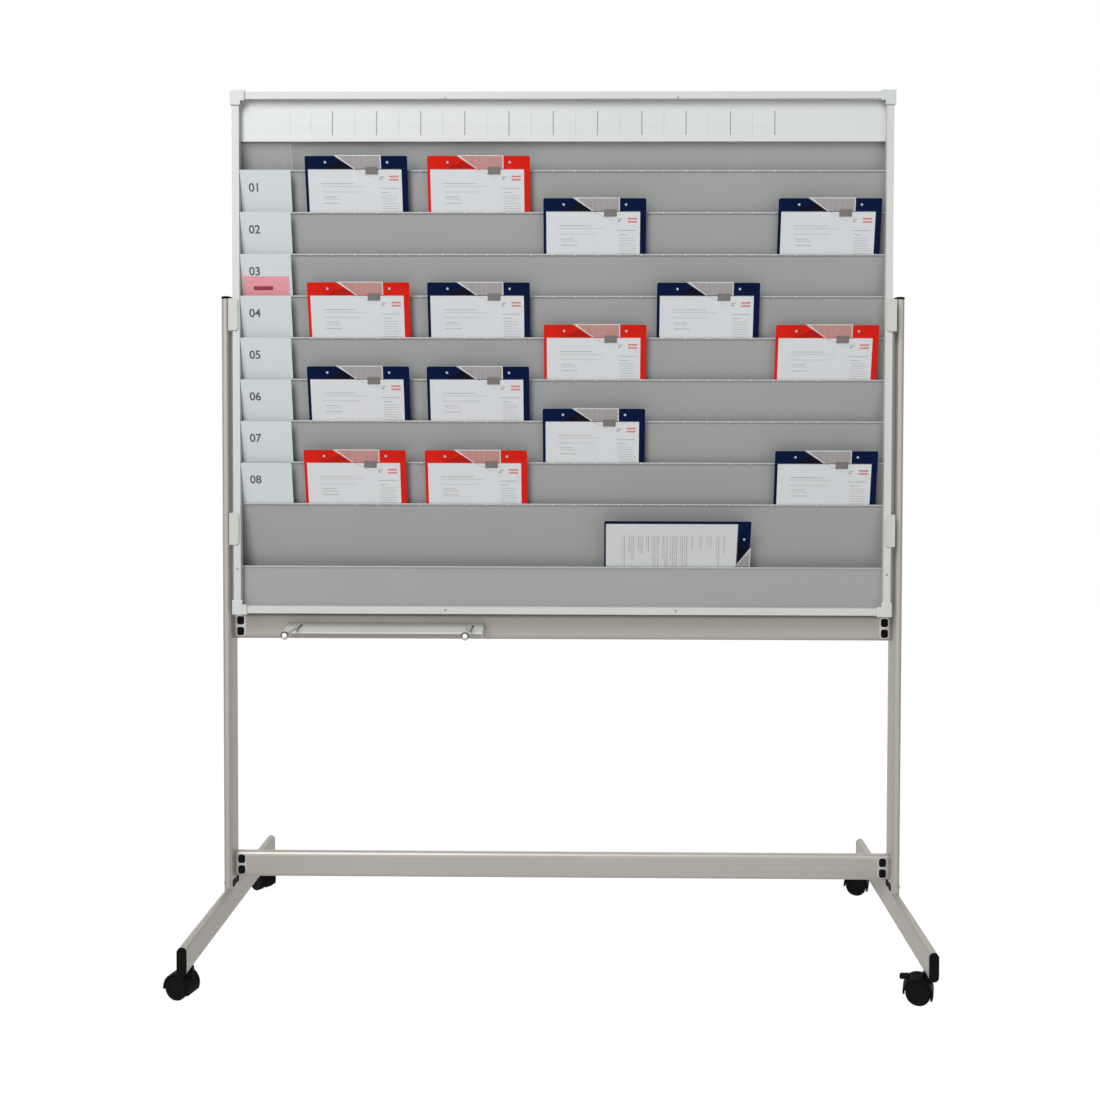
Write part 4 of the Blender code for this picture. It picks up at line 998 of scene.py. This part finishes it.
bm = sheet_of_paper()
for left, right, drop, finish_index in FORM_LINES:
    add_words(bm, left, right, drop, finish_index)
for bar in FORM_BARS:
    add_bar(bm, *bar)
for left, right, drop, count, pitch in (COLUMN, TABLE):
    for row in range(count):
        end = right - chance.uniform(0.0, RAGGED) * (right - left)
        add_words(bm, left, end, drop + row * pitch, 2)
FORM_MESH = mesh_of("form_sheet", bm, (WHITE_PAPER, PRINT_GREY, PRINT_FAINT, PRINT_RED))
print("form faces", len(FORM_MESH.polygons))

# %% [markdown]
# The lying folder holds a letter instead. It is a stack of short paragraphs, each given by how
# far down it starts, how many lines it has and how long they are; the last line is shorter.

# %% Lay out the letter in the lying folder
LETTER_LEFT = 0.030
LETTER_BLOCKS = (
    (0.028, 1, 0.060),
    (0.040, 2, 0.085),
    (0.058, 3, 0.028),
    (0.080, 2, 0.036),
    (0.100, 1, 0.050),
    (0.112, 4, 0.088),
    (0.134, 4, 0.088),
    (0.156, 3, 0.080),
    (0.176, 4, 0.088),
    (0.198, 2, 0.040),
    (0.212, 3, 0.046),
    (0.232, 3, 0.060),
    (0.252, 2, 0.090),
)
LETTER_PITCH = 0.0046
LAST_LINE_SHARE = 0.7

bm = sheet_of_paper()
for drop, count, length in LETTER_BLOCKS:
    for row in range(count):
        end = LETTER_LEFT + length * (1.0 if row < count - 1 else LAST_LINE_SHARE)
        add_words(bm, LETTER_LEFT, end, drop + row * LETTER_PITCH, 2 if row % 2 else 1)
LETTER_MESH = mesh_of("letter_sheet", bm, (WHITE_PAPER, PRINT_GREY, PRINT_FAINT))
print("letter faces", len(LETTER_MESH.polygons))

# %% [markdown]
# The front is one sheet of clear film with a tab that fills the notch. Film that is see-through
# from edge to edge would vanish, so its folded and cut edges and a faint crease across it are
# thin strips of painted highlight, and the tab is hazier than the window. The tab takes up a
# little of the cover's colour, so blue and red folders have a finish of their own for it.

# %% Model the film
FILM = 0.0004
FILM_FRONT = COVER + 0.0010
TAB_STAND = 0.0018
RIM_DROP = 0.0004
SIDE_WIDTH = 0.0022
CREASE_TOP = 0.0060
CREASE_FOOT = 0.0030
CREASE_END = (0.680, 0.0500)


def make_film_mesh(name, width, tab_finish):
    """Clear front over the paper, a hazy tab in the notch, and painted highlights on its edges and
    along a faint crease.
    """
    bm = bmesh.new()
    top = FOLDER_HEIGHT
    foot = top - BAND
    peak = top + TAB_STAND
    left, low, right = notch(width)
    front = -FILM_FRONT
    window = rectangle(PAPER_LEFT, PAPER_BOTTOM, PAPER_LEFT + PAPER_WIDTH, foot)
    tab = [(low, foot), (right, foot), (right, peak), (left, peak)]
    slab(bm, window, "Y", front, front + FILM)
    slab(bm, tab, "Y", front, front + FILM, 1)
    fold = [(left, peak), (left + CREASE_TOP, peak), (low + CREASE_FOOT, foot), (low, foot)]
    rim = rectangle(left + CREASE_TOP, top - RIM_DROP, right, peak)
    side = rectangle(right - SIDE_WIDTH, foot, right, top - RIM_DROP)
    # The fold, rim and side strips are painted highlight, and so is the crease below.
    for bright in (fold, rim, side):
        slab(bm, bright, "Y", front - INK, front, 2)
    end_x, end_z = CREASE_END[0] * width, top - CREASE_END[1]
    crease = [(low, foot), (low + CREASE_FOOT, foot), (end_x, end_z), (end_x - CREASE_FOOT / 2, end_z)]
    slab(bm, crease, "Y", front - INK, front, 3)
    return mesh_of(name, bm, (CLEAR_FILM, tab_finish, FILM_EDGE_HIGHLIGHT, FILM_LINE_HIGHLIGHT))


print("film stands", FILM_FRONT, "in front of the cover's back")

# %% [markdown]
# A flat grey clip is riveted over the notch, and two white eyelets let the folder hang on pegs.
# The clip is two stacked slabs, the upper one smaller, so its edge catches light. Each eyelet is
# a ring turned from a short profile, which is quicker than bending a wire and looks the same.

# %% Model the clip and the eyelets
HOLE_SHARES = (0.198, 0.804)
EYELET = ((0.0, 0.0002), (0.0007, 0.0002), (0.0009, 0.0006))
EYELET += ((0.0022, 0.0007), (0.0027, 0.0003), (0.0029, 0.0))
CLIP_SHARE = 0.590
CLIP_SIZE = (0.0280, 0.0158)
CLIP_RAISE = 0.0040
CLIP_STEPS = ((0.0, 0.0012, 0.0, 0.0008), (0.0022, 0.0008, 0.0008, 0.0010))
EYELET_SIDES = 20


def make_fittings_mesh(name, width):
    """Grey clip and two white eyelets."""
    bm = bmesh.new()
    left = CLIP_SHARE * width
    top = FOLDER_HEIGHT - BAND + CLIP_RAISE
    right, bottom = left + CLIP_SIZE[0], top - CLIP_SIZE[1]
    for inset, radius, back, front in CLIP_STEPS:
        outline = rounded(left + inset, bottom + inset, right - inset, top - inset, radius)
        slab(bm, outline, "Y", -FILM_FRONT - front, -FILM_FRONT - back)
    for share in HOLE_SHARES:
        centre = (share * width, -COVER, FOLDER_HEIGHT - BAND / 2)
        turned(bm, EYELET, EYELET_SIDES, Matrix.Translation(centre) @ TO_FRONT, 1)
    return mesh_of(name, bm, (CLIP_GREY, EYELET_WHITE))


print("clip", CLIP_SIZE)

# %% [markdown]
# Now each folder is put in its place. The slide joint's axis is the direction in which the folder
# leaves its pocket, which is also its own upward direction, so the joint gives the lean. The
# corner comes from the solid's box. The lying folder is the same thing turned clockwise.

# %% Put the folders in place
LYING_WIDTH_LIMIT = 0.3
CAD_COVER = 0.0012


def folder_frame(body):
    """The folder's frame at its lower left corner, its width, and whether it lies on its side."""
    low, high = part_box(body)
    up = PULLS[body]
    lean = math.atan2(-up.y, up.z)
    corner = Vector((low.x, high.y, low.z + CAD_COVER * math.sin(lean)))
    tilt = Matrix.Rotation(lean, 4, "X")
    if high.x - low.x < LYING_WIDTH_LIMIT:
        return Matrix.Translation(corner) @ tilt, high.x - low.x, False
    width = (high.z - low.z - CAD_COVER * math.sin(lean)) / math.cos(lean)
    turn = Matrix.Rotation(math.pi / 2, 4, "Y")
    return Matrix.Translation(corner) @ tilt @ Matrix.Translation((0.0, 0.0, width)) @ turn, width, True


FOLDER_FINISHES = {
    "blue": (BLUE_COVER, BLUE_PAINTED_SHADOW, NOTCH_BLUE),
    "red": (RED_COVER, RED_PAINTED_SHADOW, NOTCH_RED),
}
SHARED = {}


def folder_meshes(width, colour, lying):
    """Meshes for one kind of folder, made once."""
    key = (round(width, 4), colour)
    cover_finish, shadow_finish, tab_finish = FOLDER_FINISHES[colour]
    if key not in SHARED:
        SHARED[key] = (
            make_cover_mesh("cover_" + colour, width, cover_finish, shadow_finish),
            LETTER_MESH if lying else FORM_MESH,
            make_film_mesh("front_film", width, tab_finish),
            make_fittings_mesh("fittings", width),
        )
    return SHARED[key]


for body in FOLDERS:
    place, width, lying = folder_frame(body)
    colour = body.split("_")[-1]
    cover_mesh, paper_mesh, film_mesh, fittings_mesh = folder_meshes(width, colour, lying)
    cover = put(body + "_cover", cover_mesh, body, place=place)
    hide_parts(body)
    put(body + "_paper", paper_mesh, body, place=place)
    put(body + "_film", film_mesh, body, place=place)
    put(body + "_fittings", fittings_mesh, body, place=place)
print("folders", len(FOLDERS), "kinds", len(SHARED))

# %% [markdown]
# ## Plugs, caps and screws
#
# Black caps close the posts, and square black plugs hide the screws in the crossbars. The solids
# hold both as part of the metal, so thin black shells cover them. Small screw heads sit in the
# frame, where the pocket sheets and the corner pieces are fixed.

# %% Cap the posts
CAP_PROUD = 0.0004
CAP_RINGS = ((0.0, -0.0042), (0.0, 0.0002), (0.0010, 0.00112), (0.0032, 0.0016))
CAP_STEPS = 16


def oval(centre, width, depth, steps):
    """The profile's outline in X and Y."""
    radius = width / 2
    flat = depth / 2 - radius
    points = arc((centre[0], centre[1] + flat), radius, 0.0, math.pi, steps)
    points += arc((centre[0], centre[1] - flat), radius, math.pi, math.tau, steps)
    return points


def add_cap(bm, low, high):
    """A domed cap over the top of one post."""
    centre = ((low.x + high.x) / 2, (low.y + high.y) / 2)
    width = high.x - low.x + 2 * CAP_PROUD
    depth = high.y - low.y + 2 * CAP_PROUD
    rings = []
    for inset, rise in CAP_RINGS:
        outline = oval(centre, width - 2 * inset, depth - 2 * inset, CAP_STEPS)
        rings.append([bm.verts.new((x, y, high.z + rise)) for x, y in outline])
    for first, second in zip(rings, rings[1:]):
        for i in range(len(first)):
            after = (i + 1) % len(first)
            bm.faces.new((first[i], first[after], second[after], second[i]))
    bm.faces.new(rings[0])
    bm.faces.new(rings[-1])


bm = bmesh.new()
for post in ("left_post", "right_post"):
    add_cap(bm, *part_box(post))
caps = piece("post_caps", bm, (BLACK_PLASTIC,), "stand")
smooth(caps.data, ROUND_EDGE)
print("post caps", 2)

# %% Cover the plugs
PLUG_SIZE = (0.0159, 0.0192)
PLUG_RADIUS = 0.0047
PLUG_PITCH = 0.0250
PLUG_INSET = 0.0145
PLUG_STAND = 0.0012
PLUG_SHELL = 0.0004
PLUG_CROWN = 0.0007
DISH_SIZE = (0.0105, 0.0125)
DISH_RADIUS = 0.0028
PLUG_SOFTNESS = 0.0003


def centred(x, z, size, radius):
    """A round-cornered rectangle about a point."""
    return rounded(x - size[0] / 2, z - size[1] / 2, x + size[0] / 2, z + size[1] / 2, radius)


PLUG_PLACES = []
for bar in ("upper_crossbar", "lower_crossbar"):
    bar_low, bar_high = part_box(bar)
    for x in (bar_low.x + PLUG_INSET, bar_high.x - PLUG_INSET):
        PLUG_PLACES.append((x, bar_low.y, (bar_low.z + bar_high.z) / 2))

bm = bmesh.new()
for x, y, middle_z in PLUG_PLACES:
    for z in (middle_z - PLUG_PITCH / 2, middle_z + PLUG_PITCH / 2):
        slab(bm, centred(x, z, PLUG_SIZE, PLUG_RADIUS), "Y", y - PLUG_SHELL, y + PLUG_STAND)
        slab(bm, centred(x, z, DISH_SIZE, DISH_RADIUS), "Y", y - PLUG_CROWN, y - PLUG_SHELL)
piece("bar_plugs", bm, (BLACK_PLASTIC,), "stand", soften=PLUG_SOFTNESS)
print("plugs", 2 * len(PLUG_PLACES))

# %% [markdown]
# A pale rounded plate shows round each pair of plugs. It is one more slab, set just behind the
# foremost line of the bar, so it stands out of the bar's round front only at its edges.

# %% Put a bright plate round each pair of plugs
PLATE_SIZE = (0.0235, 0.0490)
PLATE_RADIUS = 0.0075
PLATE_FRONT = 0.0006
PLATE_BACK = 0.0024
PLATE_SOFTNESS = 0.0004

bm = bmesh.new()
for x, y, middle_z in PLUG_PLACES:
    slab(bm, centred(x, middle_z, PLATE_SIZE, PLATE_RADIUS), "Y", y + PLATE_FRONT, y + PLATE_BACK)
piece("plug_plates", bm, (PLATE_METAL,), "stand", soften=PLATE_SOFTNESS)
print("plates", len(PLUG_PLACES))

# %% [markdown]
# Screw and bolt heads are round, so each is a profile turned about its own axis. The front ones
# are seen in the photograph, and the rear ones follow the same places.

# %% Set the frame's screws
SCREW_PROFILE = ((0.0, 0.0006), (0.0012, 0.0006), (0.0013, 0.0009), (0.0022, 0.0008), (0.0028, 0.0))
TOP_SCREWS = (-0.261, 0.258)
TOP_SCREW_DROP = 0.0135
BOTTOM_SCREW_RISE = 0.0085
SIDE_SCREWS = ((-1, 0.1006), (1, 0.0920))
SIDE_INSET = 0.008
SCREW_SIDES = 14

bm = bmesh.new()
places = [(MIDDLE_X + x, BOARD_HIGH.z - TOP_SCREW_DROP) for x in TOP_SCREWS]
places += [(MIDDLE_X + x, BOARD_LOW.z + BOTTOM_SCREW_RISE) for x in TOP_SCREWS]
for side, rise in SIDE_SCREWS:
    edge = BOARD_HIGH.x - SIDE_INSET if side > 0 else BOARD_LOW.x + SIDE_INSET
    places.append((edge, BOARD_LOW.z + rise))
for x, z in places:
    turned(bm, SCREW_PROFILE, SCREW_SIDES, Matrix.Translation((x, FACE_Y, z)) @ TO_FRONT)
    turned(bm, SCREW_PROFILE, SCREW_SIDES, Matrix.Translation((x, BOARD_HIGH.y, z)) @ TO_BACK)
piece("frame_screws", bm, (ZINC,), "stand")
print("screws", 2 * len(places))

# %% Bolt the feet to the posts
BOLT_PROFILE = ((0.0, 0.0030), (0.0018, 0.0030), (0.0022, 0.0020))
BOLT_PROFILE += ((0.0038, 0.0028), (0.0050, 0.0018), (0.0052, 0.0))
BOLT_SIDES = 18
BOLT_RISE = 0.0185
BOLT_SPREAD = 0.0125
SIDE_PLUG = (0.0190, 0.0160)
SIDE_PLUG_STAND = 0.0014
SIDE_PLUG_RADIUS = 0.0030

bolts = bmesh.new()
side_plugs = bmesh.new()
for post, side in (("left_post", -1), ("right_post", 1)):
    post_low, post_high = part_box(post)
    outer, inner = (post_low.x, post_high.x) if side < 0 else (post_high.x, post_low.x)
    turn = Matrix.Rotation(side * math.pi / 2, 4, "Y")
    z = post_low.z + BOLT_RISE
    for y in (MIDDLE_Y - BOLT_SPREAD, MIDDLE_Y + BOLT_SPREAD):
        turned(bolts, BOLT_PROFILE, BOLT_SIDES, Matrix.Translation((outer, y, z)) @ turn)
        stand = sorted((inner, inner - side * SIDE_PLUG_STAND))
        slab(side_plugs, centred(y, z, SIDE_PLUG, SIDE_PLUG_RADIUS), "X", *stand)
piece("foot_bolts", bolts, (ZINC,), "stand")
piece("post_plugs", side_plugs, (BLACK_PLASTIC,), "stand", soften=PLUG_SOFTNESS)
print("bolts", 4, "side plugs", 4)

# %% [markdown]
# ## The pad rail's pegs
#
# Two pegs with polished balls stick out of the rail, to hang punched sheets on. The solid has
# them with the rail, in paint. A finer rod and a turned chrome ball cover each one, and a thin
# tear-shaped dark slab lies flat on the rail beside the foot of each, as painted shade of the
# hollow where the peg leaves the rail.

# %% Dress the pegs
PEG_RADIUS = 0.0032
PEG_BALL = 0.0087
PEG_INSET = 0.029
PEG_END = 0.0016
PEG_DROP = 0.007
BALL_INSET = 0.0085
BALL_RINGS = 14
PEG_STEPS = 28
rail_low, rail_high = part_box("pad_rail")
PEG_PLACES = (rail_low.x + PEG_INSET, rail_high.x - PEG_INSET)
PEG_Z = rail_high.z - PEG_DROP
BALL_Y = rail_low.y + BALL_INSET


def ball_profile():
    """A ball as (radius, height), from the tip."""
    turns = [math.pi * ring / BALL_RINGS for ring in range(1, BALL_RINGS)]
    sides = [(PEG_BALL * math.sin(turn), PEG_BALL * (1.0 - math.cos(turn))) for turn in turns]
    return [(0.0, 0.0), *sides, (0.0, 2 * PEG_BALL)]


def rod_profile(length):
    """A rod from the ball's middle to the bar."""
    return [(0.0, PEG_BALL), (PEG_RADIUS, PEG_BALL), (PEG_RADIUS, length), (0.0, length)]


bm = bmesh.new()
for x in PEG_PLACES:
    start = Matrix.Translation((x, BALL_Y - PEG_BALL, PEG_Z)) @ TO_BACK
    turned(bm, ball_profile(), PEG_STEPS, start)
    turned(bm, rod_profile(rail_high.y - BALL_Y + PEG_BALL - PEG_END), PEG_STEPS, start, 1)
pegs = piece("rail_pegs", bm, (CHROME, RAIL_PAINT), "stand")
smooth(pegs.data, ROUND_EDGE)
print("peg height", round(PEG_Z, 4))

# %% Paint the hollows' shade
RAIL_REACH = 0.047
RAIL_FALL = 0.014
HOLLOW = (
    (-0.0120, 0.0390),
    (0.0040, 0.0330),
    (0.0078, 0.0240),
    (0.0075, 0.0180),
    (0.0045, 0.0145),
    (0.0000, 0.0180),
    (-0.0060, 0.0290),
)

# The slabs lie flat on the rail's slope; their dark paint is painted shade.
fall = math.atan2(RAIL_FALL, RAIL_REACH)
bm = bmesh.new()
for x in PEG_PLACES:
    slab(bm, [(x + across, -along) for across, along in HOLLOW], "Z", 0.0, INK)
slope = Matrix.Translation((0.0, rail_high.y, rail_high.z)) @ Matrix.Rotation(fall, 4, "X")
piece("rail_hollow_shades", bm, (HOLLOW_PAINTED_SHADE,), "stand", place=slope)
print("hollows", len(PEG_PLACES))

# %% [markdown]
# ## Wheels
#
# The solid wheels have few sides, which is enough for rolling. The pieces that are seen are
# turned with many sides: a hub, a dished face, a rounded shoulder and a softer tread.

# %% Turn the wheels
WHEEL_RADIUS = 0.0250
WHEEL_HALF = ((0.0, 0.0219), (0.0060, 0.0219), (0.0070, 0.0213), (0.0080, 0.0206), (0.0175, 0.0204))
WHEEL_HALF += ((0.0190, 0.0209), (0.0200, 0.0218), (0.0225, 0.0219))
SHOULDER = 0.0024
SHOULDER_STEPS = 5
INNER_FACE = 0.0046
INNER_BEVEL = 0.0016
AXLE_RADIUS = 0.0029
WHEEL_STEPS = 56
WHEEL_EDGE = 32.0
WELD_DISTANCE = 0.00002
TREAD_DEPTH = 0.0008


def wheel_profile():
    """Half a wheel as (radius, distance from the caster's middle), hub to inner face."""
    outer = WHEEL_HALF[-1][1]
    quarter = math.pi / 2
    profile = list(WHEEL_HALF)
    for step in range(1, SHOULDER_STEPS + 1):
        angle = quarter * step / SHOULDER_STEPS
        radius = WHEEL_RADIUS - SHOULDER + SHOULDER * math.sin(angle)
        profile.append((radius, outer - SHOULDER + SHOULDER * math.cos(angle)))
    profile += [(WHEEL_RADIUS, INNER_FACE + SHOULDER), (WHEEL_RADIUS - INNER_BEVEL, INNER_FACE)]
    profile += [(AXLE_RADIUS, INNER_FACE), (AXLE_RADIUS, 0.0)]
    return profile


def wheel_mesh():
    """Two wheels on one axle."""
    bm = bmesh.new()
    for flip in (0.0, math.pi):
        turned(bm, wheel_profile(), WHEEL_STEPS, Matrix.Rotation(flip, 4, "X"))
    bmesh.ops.remove_doubles(bm, verts=bm.verts[:], dist=WELD_DISTANCE)
    mesh = mesh_of("wheel_pair", bm, (WHEEL_PLASTIC, TREAD_RUBBER))
    for face in mesh.polygons:
        rim = math.hypot(face.center.x, face.center.y) > WHEEL_RADIUS - TREAD_DEPTH
        if rim and abs(face.normal.z) < 0.5:
            face.material_index = 1
    smooth(mesh, WHEEL_EDGE)
    return mesh


WHEELS = wheel_mesh()
ROLLS = [joint for joint in frame["joints"] if joint["name"].endswith("_roll")]
for joint in ROLLS:
    axis = Vector(joint["axis"])
    turn = axis.to_track_quat("Z", "Y").to_matrix().to_4x4()
    place = Matrix.Translation(joint["pos_m"]) @ turn
    wheels = put(joint["child"] + "_pair", WHEELS, joint["child"], place=place)
    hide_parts(joint["child"].replace("_wheels", "_caster_wheels"))
print("wheel pairs", len(ROLLS))
